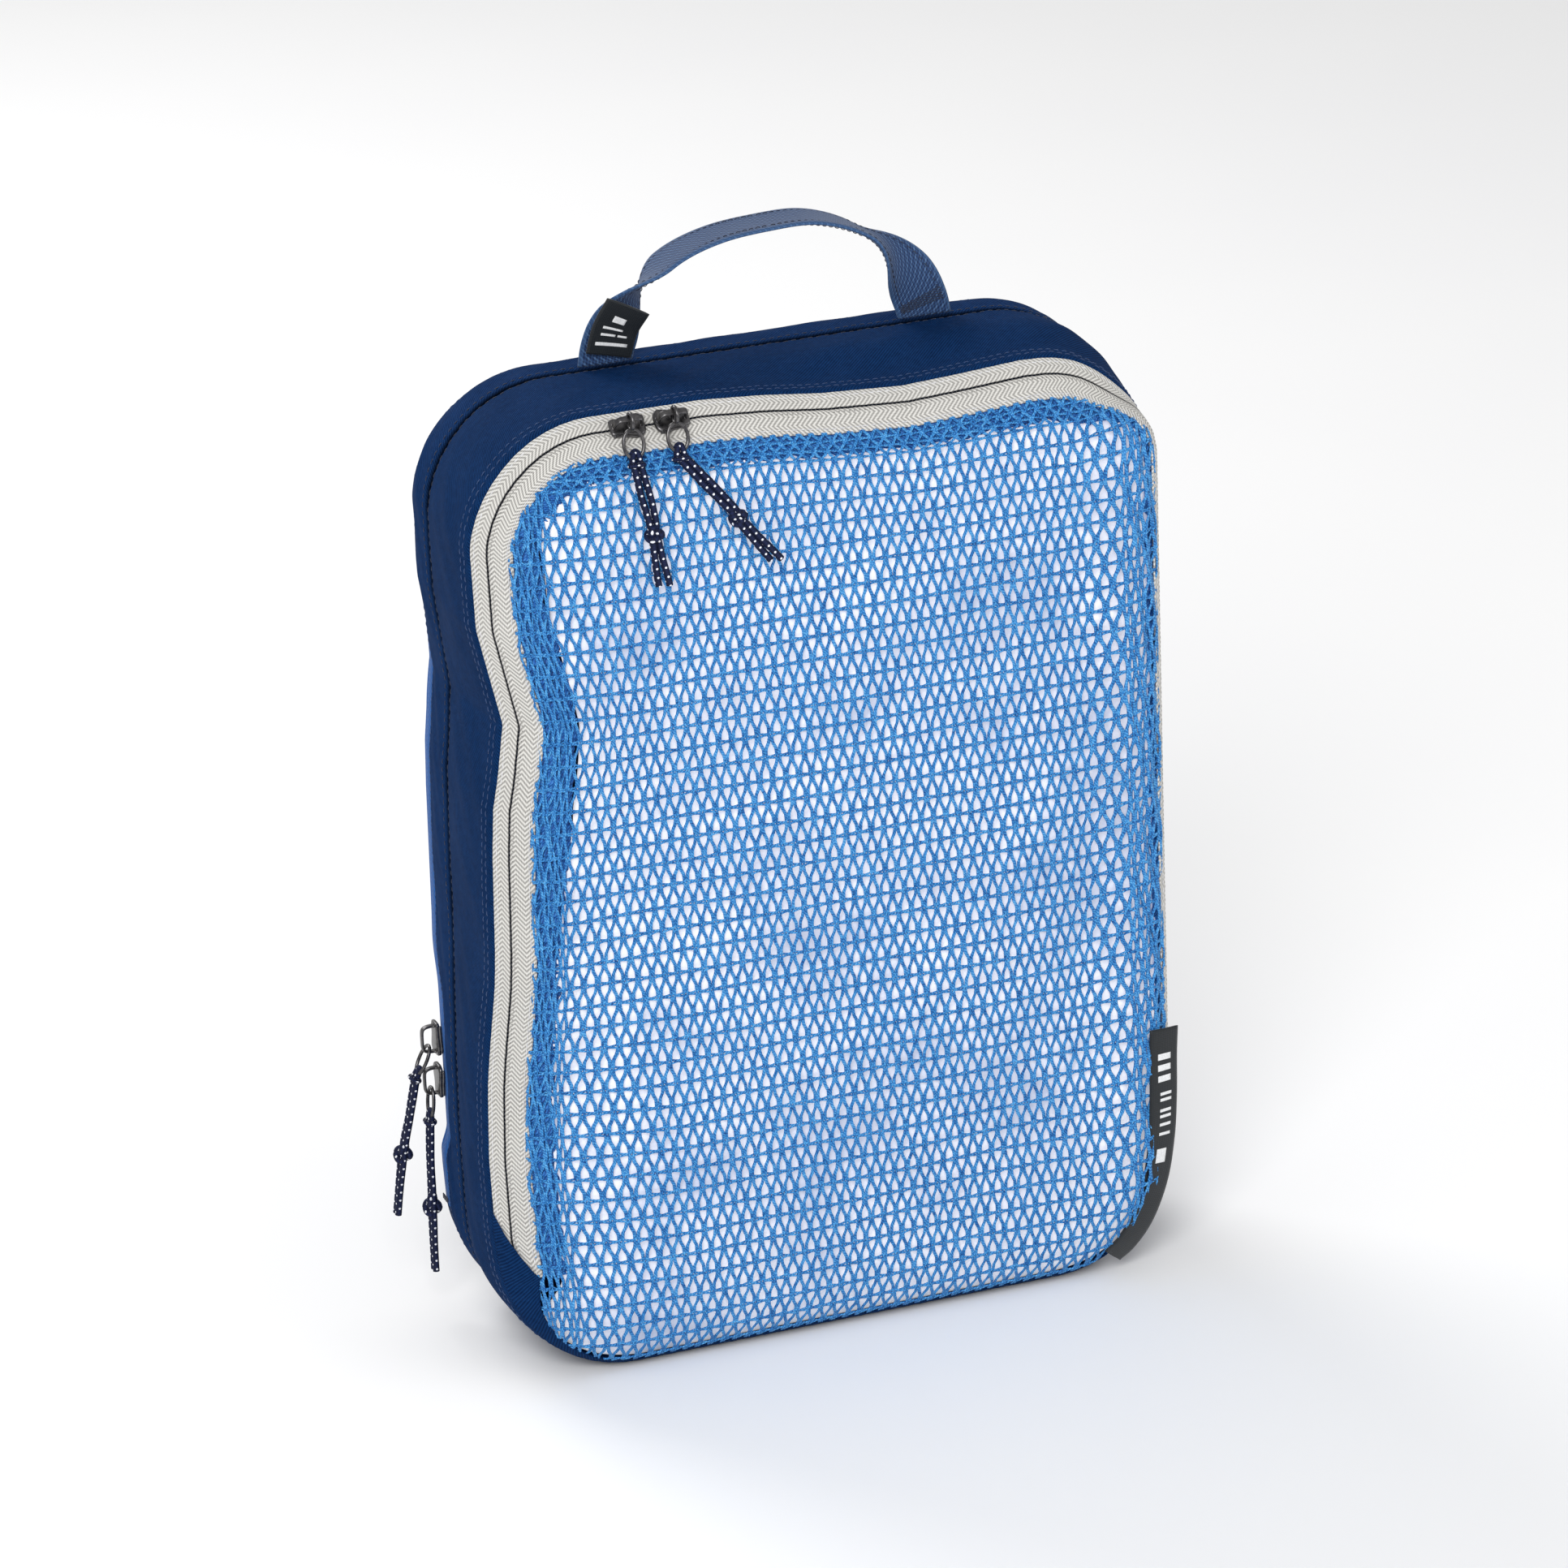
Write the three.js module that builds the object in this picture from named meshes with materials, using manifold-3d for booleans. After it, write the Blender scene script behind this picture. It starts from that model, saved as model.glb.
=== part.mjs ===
// Two-compartment packing cube: a soft rectangular travel bag with a mesh flap
// on the front and a cloth flap on the rear, a divider between them, and a
// webbing handle sewn into the middle seam on top.
// Millimetres, +Z up, front faces -Y, origin at the middle of the flat bottom.
// The solids are laid out with the middle seam in the plane Y = 0, and the whole
// bag is then set back by BASE_SHIFT.
import * as THREE from 'three';
import { mergeVertices } from 'three/addons/utils/BufferGeometryUtils.js';
import Module from 'manifold-3d';

const wasm = await Module();
wasm.setup();

// ---------------------------------------------------------------- dimensions
const WIDTH = 254;            // across the two side gussets
const HEIGHT = 360;           // bottom face to top gusset
const CORNER_R = 45;          // rounded corners of the outline
const CLOTH = 1.1;            // coated twill with its inner seam allowance
const FRONT_EDGE_Y = -46;     // front edge of the front gusset band
const REAR_EDGE_Y = 19.6;     // rear edge of the rear gusset band
const SEAM_GAP = 0.45;        // half gap between the two bands at the middle seam
const FRONT_BULGE = 18;       // how far the front swells out past its gusset edge
const FRONT_SHOULDER = 11;    // how quickly the front shoulder rolls over
const FOLD_Z = 42;            // height of the zip ends, where each flap folds
const FOLD_GAP = 0.3;         // half gap between the flap and its fixed hem piece
const TAPE = 0.8;             // zip tape thickness
const COIL = 1.3;             // nylon coil section
const OUTER_TAPE_IN = 0.3;    // front zip, measured in from the outline
const OUTER_TAPE_OUT = 4.5;
const INNER_TAPE_IN = 5.9;
const INNER_TAPE_OUT = 12.6;
const HEM_OUT = 20.6;         // inner edge of the bunched mesh hem
const FACING_OUT = 7.0;       // cloth facing under the fixed bottom strip
const WEBBING_W = 20;         // handle webbing
const WEBBING_T = 1.6;
const BASE_SHIFT = 13;        // middle seam to the middle of the flat bottom
const HANDLE_BASE_Z = HEIGHT + 1.2;
const WIRE_R = 0.65;          // puller wire
const CORD_D = 2.5;           // pull cord, doubled
const KNOT_R = 3.7;

// ------------------------------------------------------------------- colours
const NAVY = 0x12305a, NAVY_DARK = 0x0f2746, OFF_WHITE = 0xe6e7e9;
const BRIGHT_BLUE = 0x2270c4, MESH_BLUE = 0x3f86cf, MESH_DEEP = 0x2e74c0;
const GUNMETAL = 0x4a4b50, CORD_BLUE = 0x1b2a4c, BLACK = 0x14181c;
const TISSUE = 0xeef0f4, WEBBING = 0x2b3f66;

const packingCube = new THREE.Group();
packingCube.position.y = BASE_SHIFT;

function add(name, geometry, color, roughness = 0.85, metalness = 0, place = null) {
  const material = new THREE.MeshStandardMaterial({ color, roughness, metalness });
  const mesh = new THREE.Mesh(geometry, material);
  mesh.name = name;
  if (place) {
    mesh.position.copy(place.position);
    mesh.quaternion.copy(place.quaternion);
  }
  packingCube.add(mesh);
  return mesh;
}

// ------------------------------------------------------------ mesh utilities
function geometryOf(points, faces) {
  const g = new THREE.BufferGeometry();
  g.setAttribute('position', new THREE.Float32BufferAttribute(points.flat(), 3));
  let volume = 0;
  for (const [a, b, c] of faces) {
    const p = points[a], q = points[b], r = points[c];
    volume += p[0] * (q[1] * r[2] - q[2] * r[1])
            - p[1] * (q[0] * r[2] - q[2] * r[0])
            + p[2] * (q[0] * r[1] - q[1] * r[0]);
  }
  const out = volume < 0 ? faces.map(([a, b, c]) => [a, c, b]) : faces;
  g.setIndex(out.flat());
  g.computeVertexNormals();
  return g;
}

function merged(geometry) {
  const g = geometry.index ? geometry.toNonIndexed() : geometry.clone();
  g.deleteAttribute('normal');
  g.deleteAttribute('uv');
  return mergeVertices(g, 1e-4);
}

function solidOf(geometry) {
  const g = merged(geometry);
  return new wasm.Manifold(new wasm.Mesh({
    numProp: 3,
    vertProperties: new Float32Array(g.attributes.position.array),
    triVerts: new Uint32Array(g.index.array),
  }));
}

function geometryFrom(solid) {
  const m = solid.getMesh();
  const g = new THREE.BufferGeometry();
  g.setAttribute('position', new THREE.BufferAttribute(new Float32Array(m.vertProperties), 3));
  g.setIndex(new THREE.BufferAttribute(new Uint32Array(m.triVerts), 1));
  g.computeVertexNormals();
  return g;
}

function boxBetween(lo, hi) {
  const g = new THREE.BoxGeometry(hi[0] - lo[0], hi[1] - lo[1], hi[2] - lo[2]);
  g.translate((lo[0] + hi[0]) / 2, (lo[1] + hi[1]) / 2, (lo[2] + hi[2]) / 2);
  return g;
}

const ABOVE_FOLD = () => solidOf(boxBetween([-400, -200, FOLD_Z + FOLD_GAP], [400, 200, 600]));
const BELOW_FOLD = () => solidOf(boxBetween([-400, -200, -50], [400, 200, FOLD_Z - FOLD_GAP]));
const keep = (geometry, region) => geometryFrom(solidOf(geometry).intersect(region));

// The bag's outline, a rounded rectangle, drawn in by `inset` all round.
const CORNER_STEPS = 6, LONG_STEPS = 5, SHORT_STEPS = 4;
function outline(inset) {
  const r = Math.max(CORNER_R - inset, 2);
  const x1 = WIDTH / 2 - inset - r, z0 = inset + r, z1 = HEIGHT - inset - r;
  const centres = [[x1, z1, 0], [-x1, z1, 90], [-x1, z0, 180], [x1, z0, 270]];
  const pts = [];
  centres.forEach(([cx, cz, start], k) => {
    for (let i = 0; i <= CORNER_STEPS; i++) {
      const a = THREE.MathUtils.degToRad(start + 90 * i / CORNER_STEPS);
      pts.push([cx + r * Math.cos(a), cz + r * Math.sin(a)]);
    }
    const last = pts[pts.length - 1];
    const [nx, nz, ns] = centres[(k + 1) % 4];
    const b = THREE.MathUtils.degToRad(ns);
    const next = [nx + r * Math.cos(b), nz + r * Math.sin(b)];
    const n = k % 2 === 0 ? SHORT_STEPS : LONG_STEPS;
    for (let i = 1; i < n; i++) {
      pts.push([last[0] + (next[0] - last[0]) * i / n, last[1] + (next[1] - last[1]) * i / n]);
    }
  });
  return pts;
}

// A closed section of [inset, y] points carried right round the outline.
function bandRing(section) {
  const loops = section.map(([inset, y]) => outline(inset).map(([x, z]) => [x, y, z]));
  const n = loops[0].length, m = loops.length;
  const faces = [];
  for (let i = 0; i < m; i++) {
    for (let j = 0; j < n; j++) {
      const a = i * n + j, b = i * n + (j + 1) % n;
      const c = ((i + 1) % m) * n + (j + 1) % n, d = ((i + 1) % m) * n + j;
      faces.push([a, b, c], [a, c, d]);
    }
  }
  return geometryOf(loops.flat(), faces);
}

// A crowned sheet: rings from the rim to the middle, thickened towards +back.
function crownedSheet(rings, thickness) {
  const n = rings[0].length, k = rings.length;
  const points = [], faces = [];
  for (const side of [0, 1]) {
    for (const ring of rings) for (const [x, y, z] of ring) points.push([x, y + side * thickness, z]);
  }
  const mid = rings[k - 1].reduce((s, p) => [s[0] + p[0] / n, s[1] + p[1] / n, s[2] + p[2] / n], [0, 0, 0]);
  const front = points.length, back = front + 1;
  points.push(mid, [mid[0], mid[1] + thickness, mid[2]]);
  for (let i = 0; i + 1 < k; i++) {
    for (let j = 0; j < n; j++) {
      const a = i * n + j, b = i * n + (j + 1) % n, c = (i + 1) * n + (j + 1) % n, d = (i + 1) * n + j;
      faces.push([a, b, c], [a, c, d]);
      const o = k * n;
      faces.push([o + a, o + c, o + b], [o + a, o + d, o + c]);
    }
  }
  for (let j = 0; j < n; j++) {
    const j2 = (j + 1) % n, a = (k - 1) * n + j, b = (k - 1) * n + j2, o = k * n;
    faces.push([a, b, front], [o + b, o + a, back]);
    faces.push([j2, j, o + j], [j2, o + j, o + j2]);
  }
  return geometryOf(points, faces);
}

const frontY = (d) => FRONT_EDGE_Y - FRONT_BULGE * (1 - Math.exp(-d / FRONT_SHOULDER));
const REAR_PROFILE = [[0, 19.6], [0.3, 26], [1.0, 28.4], [3.6, 31.4], [9, 33.8], [20, 35.6], [42, 37.2], [200, 38]];
function rearY(d) {
  for (let i = 1; i < REAR_PROFILE.length; i++) {
    const [d0, y0] = REAR_PROFILE[i - 1], [d1, y1] = REAR_PROFILE[i];
    if (d <= d1) return y0 + (y1 - y0) * (d - d0) / (d1 - d0);
  }
  return 38;
}

// Rings at growing insets, then scaled copies towards the middle.
function crownRings(insets, profile, scales, shift = 0) {
  const rings = insets.map((d) => outline(d).map(([x, z]) => [x, profile(d) + shift, z]));
  const last = insets[insets.length - 1];
  const base = outline(last);
  for (const s of scales) {
    const d = last + (1 - s) * 90;
    rings.push(base.map(([x, z]) => [x * s, profile(d) + shift, HEIGHT / 2 + (z - HEIGHT / 2) * s]));
  }
  return rings;
}

function circle(rx, ry, sides) {
  const shape = new THREE.Shape();
  for (let i = 0; i < sides; i++) {
    const a = 2 * Math.PI * i / sides;
    const p = [rx * Math.cos(a), ry * Math.sin(a)];
    if (i) shape.lineTo(...p); else shape.moveTo(...p);
  }
  shape.closePath();
  return shape;
}

function tube(points, rx, ry, steps, sides = 8) {
  const path = new THREE.CatmullRomCurve3(points.map((p) => new THREE.Vector3(...p)));
  return merged(new THREE.ExtrudeGeometry(circle(rx, ry, sides),
    { steps, curveSegments: 1, bevelEnabled: false, extrudePath: path }));
}

// -------------------------------------------------------------- gusset bands
const frontBand = bandRing([
  [0, FRONT_EDGE_Y + 0.5], [0, FRONT_EDGE_Y / 2], [0, -SEAM_GAP],
  [CLOTH, -SEAM_GAP], [CLOTH, FRONT_EDGE_Y / 2], [CLOTH, FRONT_EDGE_Y + 0.5],
]);
add('front_gusset', frontBand, NAVY);
const rearBand = bandRing([
  [0, SEAM_GAP], [0, REAR_EDGE_Y], [CLOTH, REAR_EDGE_Y], [CLOTH, SEAM_GAP],
]);
add('rear_gusset', rearBand, NAVY_DARK);

// The divider and the seam binding that closes the raw edges round it.
add('divider_panel', crownedSheet([
  outline(CLOTH + 0.4).map(([x, z]) => [x, -0.4, z]),
  outline(90).map(([x, z]) => [x, -0.4, z]),
], 0.8), NAVY_DARK);
add('middle_seam_binding', bandRing([
  [CLOTH + 0.3, -5.5], [CLOTH + 0.3, -0.8], [CLOTH + 1.4, -0.8], [CLOTH + 1.4, -5.5],
]), NAVY_DARK);

// -------------------------------------------------------------- front zipper
function tapeSection(d0, d1, profile, t, steps = 2) {
  const outer = [], inner = [];
  for (let i = 0; i <= steps; i++) {
    const d = d0 + (d1 - d0) * i / steps;
    outer.push([d, profile(d)]);
    inner.unshift([d + t * 0.55, profile(d) + t * 0.85]);
  }
  return outer.concat(inner);
}
const frontTapeY = (d) => frontY(d) - 0.2;
add('front_zip_outer_tape',
  keep(bandRing(tapeSection(OUTER_TAPE_IN, OUTER_TAPE_OUT, frontTapeY, TAPE)), ABOVE_FOLD()), OFF_WHITE);
add('front_zip_inner_tape',
  keep(bandRing(tapeSection(INNER_TAPE_IN, INNER_TAPE_OUT, frontTapeY, TAPE)), ABOVE_FOLD()), OFF_WHITE);

// Nylon coils sewn to the backs of the two tapes, on either side of the gap.
function coilSection(d, y) {
  return [[d, y], [d, y + COIL], [d + COIL, y + COIL], [d + COIL, y]];
}
add('front_zip_outer_coil',
  keep(bandRing(coilSection(OUTER_TAPE_OUT - 0.9, frontTapeY(OUTER_TAPE_OUT - 0.9) + 1.9)), ABOVE_FOLD()), OFF_WHITE);
add('front_zip_inner_coil',
  keep(bandRing(coilSection(INNER_TAPE_IN + 1.4, frontTapeY(INNER_TAPE_IN + 1.4) + 2.0)), ABOVE_FOLD()), OFF_WHITE);

// ---------------------------------------------------------- front mesh flap
add('mesh_hem',
  keep(bandRing(tapeSection(INNER_TAPE_OUT + 0.4, HEM_OUT, frontY, 1.4)), ABOVE_FOLD()), MESH_DEEP);
add('mesh_panel',
  keep(crownedSheet(crownRings([HEM_OUT + 1.2, 34], frontY, [0.72, 0.36]), 1.0), ABOVE_FOLD()), MESH_BLUE);
add('mesh_lower_panel',
  keep(crownedSheet(crownRings([FACING_OUT + 1.1, 13, 21, 34], frontY, [0.72, 0.36]), 1.0), BELOW_FOLD()), MESH_BLUE);
add('front_corner_facing',
  keep(bandRing(tapeSection(0.3, FACING_OUT, (d) => frontY(d) - 0.5, CLOTH)), BELOW_FOLD()), NAVY);

// Thin paper that keeps the mesh in shape, just behind it.
const tissueRings = () => crownRings([19, 34], frontY, [0.72, 0.36], 4.2);
add('display_tissue', keep(crownedSheet(tissueRings(), 0.8),
  solidOf(boxBetween([-400, -200, FOLD_Z + 2], [400, 200, 600]))), TISSUE, 0.9);
add('display_tissue_lower', keep(crownedSheet(tissueRings(), 0.8),
  solidOf(boxBetween([-400, -200, -50], [400, 200, FOLD_Z - 2]))), TISSUE, 0.9);

// --------------------------------------------------------------- rear zipper
const rearTape = (d0, d1, y0, y1) => [[d0, y0], [d0 + TAPE, y0], [d1 + TAPE, y1], [d1, y1]];
add('rear_zip_outer_tape',
  keep(bandRing(rearTape(0, 0.3, REAR_EDGE_Y + 0.4, 25.6)), ABOVE_FOLD()), BRIGHT_BLUE);
add('rear_zip_outer_coil',
  keep(bandRing([[2.0, 24.0], [2.0 + COIL, 24.0], [2.0 + COIL, 24.0 + COIL], [2.0, 24.0 + COIL]]), ABOVE_FOLD()), BRIGHT_BLUE);
add('rear_zip_inner_tape',
  keep(bandRing([
    [0.4, 27.0], [1.0, 28.4], [3.6, 31.4], [8.6, 33.6], [8.6, 32.7], [4.1, 30.6], [1.9, 28.0], [1.3, 27.0],
  ]), ABOVE_FOLD()), BRIGHT_BLUE);
add('rear_zip_inner_coil',
  keep(bandRing([[2.4, 26.6], [2.4 + COIL, 26.6], [2.4 + COIL, 26.6 + COIL], [2.4, 26.6 + COIL]]), ABOVE_FOLD()), BRIGHT_BLUE);

// ----------------------------------------------------------------- rear flap
add('rear_panel',
  keep(crownedSheet(crownRings([9, 20, 42], rearY, [0.7, 0.35]), -CLOTH), ABOVE_FOLD()), NAVY);
add('rear_lower_panel',
  keep(crownedSheet(crownRings([9, 20, 42], rearY, [0.7, 0.35]), -CLOTH), BELOW_FOLD()), NAVY);
add('rear_corner_facing',
  keep(bandRing([
    [0, REAR_EDGE_Y + 0.4], [0.2, 26], [1.0, 28.4], [3.6, 31.4], [8.6, 33.6],
    [8.6, 32.6], [4.3, 30.4], [2.1, 27.8], [1.4, 26], [1.2, REAR_EDGE_Y + 0.4],
  ]), BELOW_FOLD()), NAVY);

// ------------------------------------------------------------------- handle
// Flat webbing: its legs stand in the middle seam with their width along X,
// turn a quarter turn on the way up and run over the top as a flat strap.
function ribbon(stations, width, thickness) {
  const points = [], faces = [];
  for (const { c, w, n } of stations) {
    for (const [sw, sn] of [[-1, -1], [1, -1], [1, 1], [-1, 1]]) {
      points.push([0, 1, 2].map((k) => c[k] + w[k] * sw * width / 2 + n[k] * sn * thickness / 2));
    }
  }
  for (let i = 0; i + 1 < stations.length; i++) {
    for (let j = 0; j < 4; j++) {
      const a = i * 4 + j, b = i * 4 + (j + 1) % 4, c = (i + 1) * 4 + (j + 1) % 4, d = (i + 1) * 4 + j;
      faces.push([a, b, c], [a, c, d]);
    }
  }
  const e = (stations.length - 1) * 4;
  faces.push([0, 2, 1], [0, 3, 2], [e, e + 1, e + 2], [e, e + 2, e + 3]);
  return geometryOf(points, faces);
}
const HANDLE_PATH = [
  [-60, 0], [-58.2, 7], [-53.6, 16.5], [-45, 27], [-33, 35.6], [-17, 41], [0, 42.8],
  [17, 42.2], [33, 36.8], [45.5, 27.8], [54, 16.5], [58.2, 7], [60, 0],
];
function handleStations(count) {
  const path = new THREE.CatmullRomCurve3(
    HANDLE_PATH.map(([x, z]) => new THREE.Vector3(x, 0, HANDLE_BASE_Z + z)));
  const out = [];
  for (let i = 0; i <= count; i++) {
    const u = i / count, p = path.getPointAt(u), t = path.getTangentAt(u);
    // Turn of the strap about its own length: none at the legs, a quarter on top.
    const edge = Math.min(u, 1 - u);
    const turn = THREE.MathUtils.smoothstep(edge, 0.05, 0.26) * Math.PI / 2;
    const across = new THREE.Vector3(t.z, 0, -t.x);
    if (across.x < 0) across.negate();
    const depth = new THREE.Vector3(0, 1, 0);
    const w = across.clone().multiplyScalar(Math.cos(turn))
      .addScaledVector(depth, Math.sin(turn)).normalize();
    if (i === 0 || i === count) w.set(1, 0, 0);
    const n = (i === 0 || i === count) ? depth.clone()
      : new THREE.Vector3().crossVectors(t, w).normalize();
    if (i > 0 && i < count && n.dot(out[out.length - 1].nv) < 0) n.negate();
    out.push({ c: p.toArray(), w: w.toArray(), n: n.toArray(), nv: n });
  }
  return out;
}
add('handle_webbing', ribbon(handleStations(34), WEBBING_W, WEBBING_T), WEBBING);

// Folded ribbon tag sewn round the front of the left leg.
add('size_tag', ribbon([
  { c: [-59.5, -2.9, HANDLE_BASE_Z + 4], w: [1, 0, 0], n: [0, 1, 0] },
  { c: [-57.0, -4.2, HANDLE_BASE_Z + 13], w: [0.93, 0, -0.37], n: [0, 1, 0] },
  { c: [-52.6, -6.8, HANDLE_BASE_Z + 21], w: [0.85, 0, -0.52], n: [0, 1, 0] },
], 17, 1.0), BLACK, 0.7);

// ------------------------------------------------------------ zip end tacks
// Stitched bars across the tapes at each end of the two zips.
const TACK_W = 2.2, TACK_T = 0.6;
for (const [name, side] of [['left', -1], ['right', 1]]) {
  add(`front_zip_end_tack_${name}`, ribbon([1.5, 4, 7, 10].map((d) => ({
    c: [side * (WIDTH / 2 - d + 0.6), frontTapeY(d) - 0.7, FOLD_Z + 2.6],
    w: [0, 0, 1], n: [side * Math.SQRT1_2, -Math.SQRT1_2, 0],
  })), TACK_W, TACK_T), NAVY);
  add(`rear_zip_end_tack_${name}`, ribbon([21, 25.2].map((y) => ({
    c: [side * (WIDTH / 2 + 0.7), y, FOLD_Z + 2.6], w: [0, 0, 1], n: [side, 0, 0],
  })), TACK_W, TACK_T), NAVY);
}

// ------------------------------------------------------------- edge ribbon
// Black folded ribbon over the lower right edge, in two pieces at the fold.
const RIBBON_INSET = 8.5;
function ribbonStation(x, z, angle) {
  const c = Math.cos(angle), n = Math.sin(angle);
  return {
    c: [x, frontTapeY(RIBBON_INSET) - 1.6, z],
    w: [0.8 * c, 0.6, -0.8 * n], n: [0.6 * c, -0.8, -0.6 * n],
  };
}
const onSide = [96, 72, 48].map((z) => ribbonStation(WIDTH / 2 - RIBBON_INSET, z, 0));
const roundCorner = [8, 22, 36, 50, 64].map((deg) => {
  const a = THREE.MathUtils.degToRad(deg), r = CORNER_R - RIBBON_INSET;
  return ribbonStation(WIDTH / 2 - CORNER_R + r * Math.cos(a), CORNER_R - r * Math.sin(a), a);
});
add('edge_ribbon', ribbon(onSide, 11, 1.0), BLACK, 0.7);
add('edge_ribbon_lower', ribbon(roundCorner, 11, 1.0), BLACK, 0.7);

// ------------------------------------------------------------------ sliders
// Local frame of a slider: x along the zip towards its nose, y across it,
// z out of the tape. The plate rides over the two tapes and its crown is the
// bridge that the puller hangs from.
function place(origin, along, out) {
  const z = new THREE.Vector3(...out).normalize();
  const x = new THREE.Vector3(...along).normalize();
  const y = new THREE.Vector3().crossVectors(z, x).normalize();
  const m = new THREE.Matrix4().makeBasis(x, y, z);
  return { position: new THREE.Vector3(...origin), quaternion: new THREE.Quaternion().setFromRotationMatrix(m) };
}
function sliderBody() {
  const plate = new THREE.Shape();
  [[-6.2, -2.9], [-1.5, -2.9], [3.4, -4.3], [5.6, -3.6], [6.3, -1.2], [6.3, 1.2], [5.6, 3.6], [3.4, 4.3],
    [-1.5, 2.9], [-6.2, 2.9]].forEach((p, i) => (i ? plate.lineTo(...p) : plate.moveTo(...p)));
  plate.closePath();
  const top = new THREE.ExtrudeGeometry(plate, { depth: 1.5, bevelEnabled: false });
  top.translate(0, 0, 0.9);
  const arch = new THREE.Shape();
  [[-5.4, 1.6], [-5.4, 6.2], [-4.2, 7.5], [4.2, 7.5], [5.4, 6.2], [5.4, 1.6]]
    .forEach((p, i) => (i ? arch.lineTo(...p) : arch.moveTo(...p)));
  arch.closePath();
  const hole = new THREE.Path();
  [[-4.0, 2.6], [4.0, 2.6], [4.0, 5.6], [3.4, 6.3], [-3.4, 6.3], [-4.0, 5.6]]
    .forEach((p, i) => (i ? hole.lineTo(...p) : hole.moveTo(...p)));
  hole.closePath();
  arch.holes.push(hole);
  const crown = new THREE.ExtrudeGeometry(arch, { depth: 2.2, bevelEnabled: false });
  crown.rotateX(Math.PI / 2);
  crown.translate(0, 1.1, 0);
  return geometryFrom(solidOf(top).add(solidOf(crown)));
}
// Wire loop: a long oval, hung from the crown.
function loopGeometry(half, wide) {
  const g = new THREE.TorusGeometry(1, 0.1, 6, 18);
  const p = g.attributes.position;
  for (let i = 0; i < p.count; i++) {
    const x = p.getX(i), y = p.getY(i), z = p.getZ(i);
    const a = Math.atan2(y, x), rad = Math.hypot(x, y) - 1;
    const cx = wide * Math.cos(a), cy = half * Math.sin(a);
    const nx = Math.cos(a) / wide, ny = Math.sin(a) / half, nl = Math.hypot(nx, ny);
    p.setXYZ(i, cx + rad * 10 * WIRE_R * nx / nl, cy + rad * 10 * WIRE_R * ny / nl, z * 10 * WIRE_R);
  }
  return merged(g);
}

// Front zip: both sliders meet nose to nose on the top run.
const FRONT_SLIDE_D = 5.2;
const FRONT_OUT = [0, -Math.SQRT1_2, Math.SQRT1_2];
const FRONT_SLIDERS = [
  { name: 'front_left', x: -71, dir: 1, tail: [-65.5, 302] },
  { name: 'front_right', x: -55, dir: -1, tail: [-24.5, 305] },
];
const slideY = frontTapeY(FRONT_SLIDE_D), slideZ = HEIGHT - FRONT_SLIDE_D;
const BAR = 6.9;  // crown bar above the tape
for (const s of FRONT_SLIDERS) {
  add(`${s.name}_slider`, sliderBody(), GUNMETAL, 0.35, 0.9,
    place([s.x, slideY, slideZ], [s.dir, 0, 0], FRONT_OUT));
  // The eye hangs on the crown bar; the flat loop below it leans on the mesh.
  const by = slideY + FRONT_OUT[1] * BAR, bz = slideZ + FRONT_OUT[2] * BAR;
  const eye = loopGeometry(2.8, 2.8);
  eye.rotateY(Math.PI / 2);
  const lean = Math.atan2(4.6, 15);
  const loop = loopGeometry(4.9, 3.6);
  loop.rotateX(Math.PI / 2);
  loop.translate(0, 0, -8.7);
  eye.translate(0, 0, -1.0);
  const puller = geometryFrom(solidOf(eye).add(solidOf(loop)));
  puller.rotateX(-lean);
  puller.translate(s.x, by, bz);
  add(`${s.name}_puller`, puller, GUNMETAL, 0.35, 0.9);
  const ringY = by - 15.2 * Math.sin(lean), ringZ = bz - 15.2 * Math.cos(lean);
  const end = s.tail, startX = s.x;
  const at = (k) => {
    const z = ringZ + (end[1] - ringZ) * k;
    const x = startX + (end[0] - startX) * (k < 0.5 ? k * 1.05 : k);
    const d = Math.min(HEIGHT - z, WIDTH / 2 + x);
    const off = 3.0 + 2.0 * THREE.MathUtils.smoothstep(k, 0.1, 0.5);
    return [x, Math.min(frontY(d) - off, ringY), z];
  };
  add(`${s.name}_cord`, tube([at(0), at(0.15), at(0.3), at(0.44)], CORD_D / 2, CORD_D, 9), CORD_BLUE, 0.7);
  add(`${s.name}_cord_tails`, tube([at(0.68), at(0.8), at(0.9), at(1)], CORD_D / 2, CORD_D, 6), CORD_BLUE, 0.7);
  add(`${s.name}_cord_knot`, fitKnot(at(0.46), at(0.66)), CORD_BLUE, 0.7);
}

// A knot as a closed barrel between two points of its cord.
function fitKnot(a, b) {
  const va = new THREE.Vector3(...a), vb = new THREE.Vector3(...b);
  const len = va.distanceTo(vb) - 0.5;
  const pts = [[0, -len / 2], [2.2, -len / 2], [KNOT_R, -len / 5], [KNOT_R, len / 5], [2.2, len / 2], [0, len / 2]]
    .map((p) => new THREE.Vector2(...p));
  const g = merged(new THREE.LatheGeometry(pts, 10));
  const q = new THREE.Quaternion().setFromUnitVectors(
    new THREE.Vector3(0, 1, 0), vb.clone().sub(va).normalize());
  g.applyQuaternion(q);
  g.translate(...va.add(vb).multiplyScalar(0.5).toArray());
  return g;
}

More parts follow.
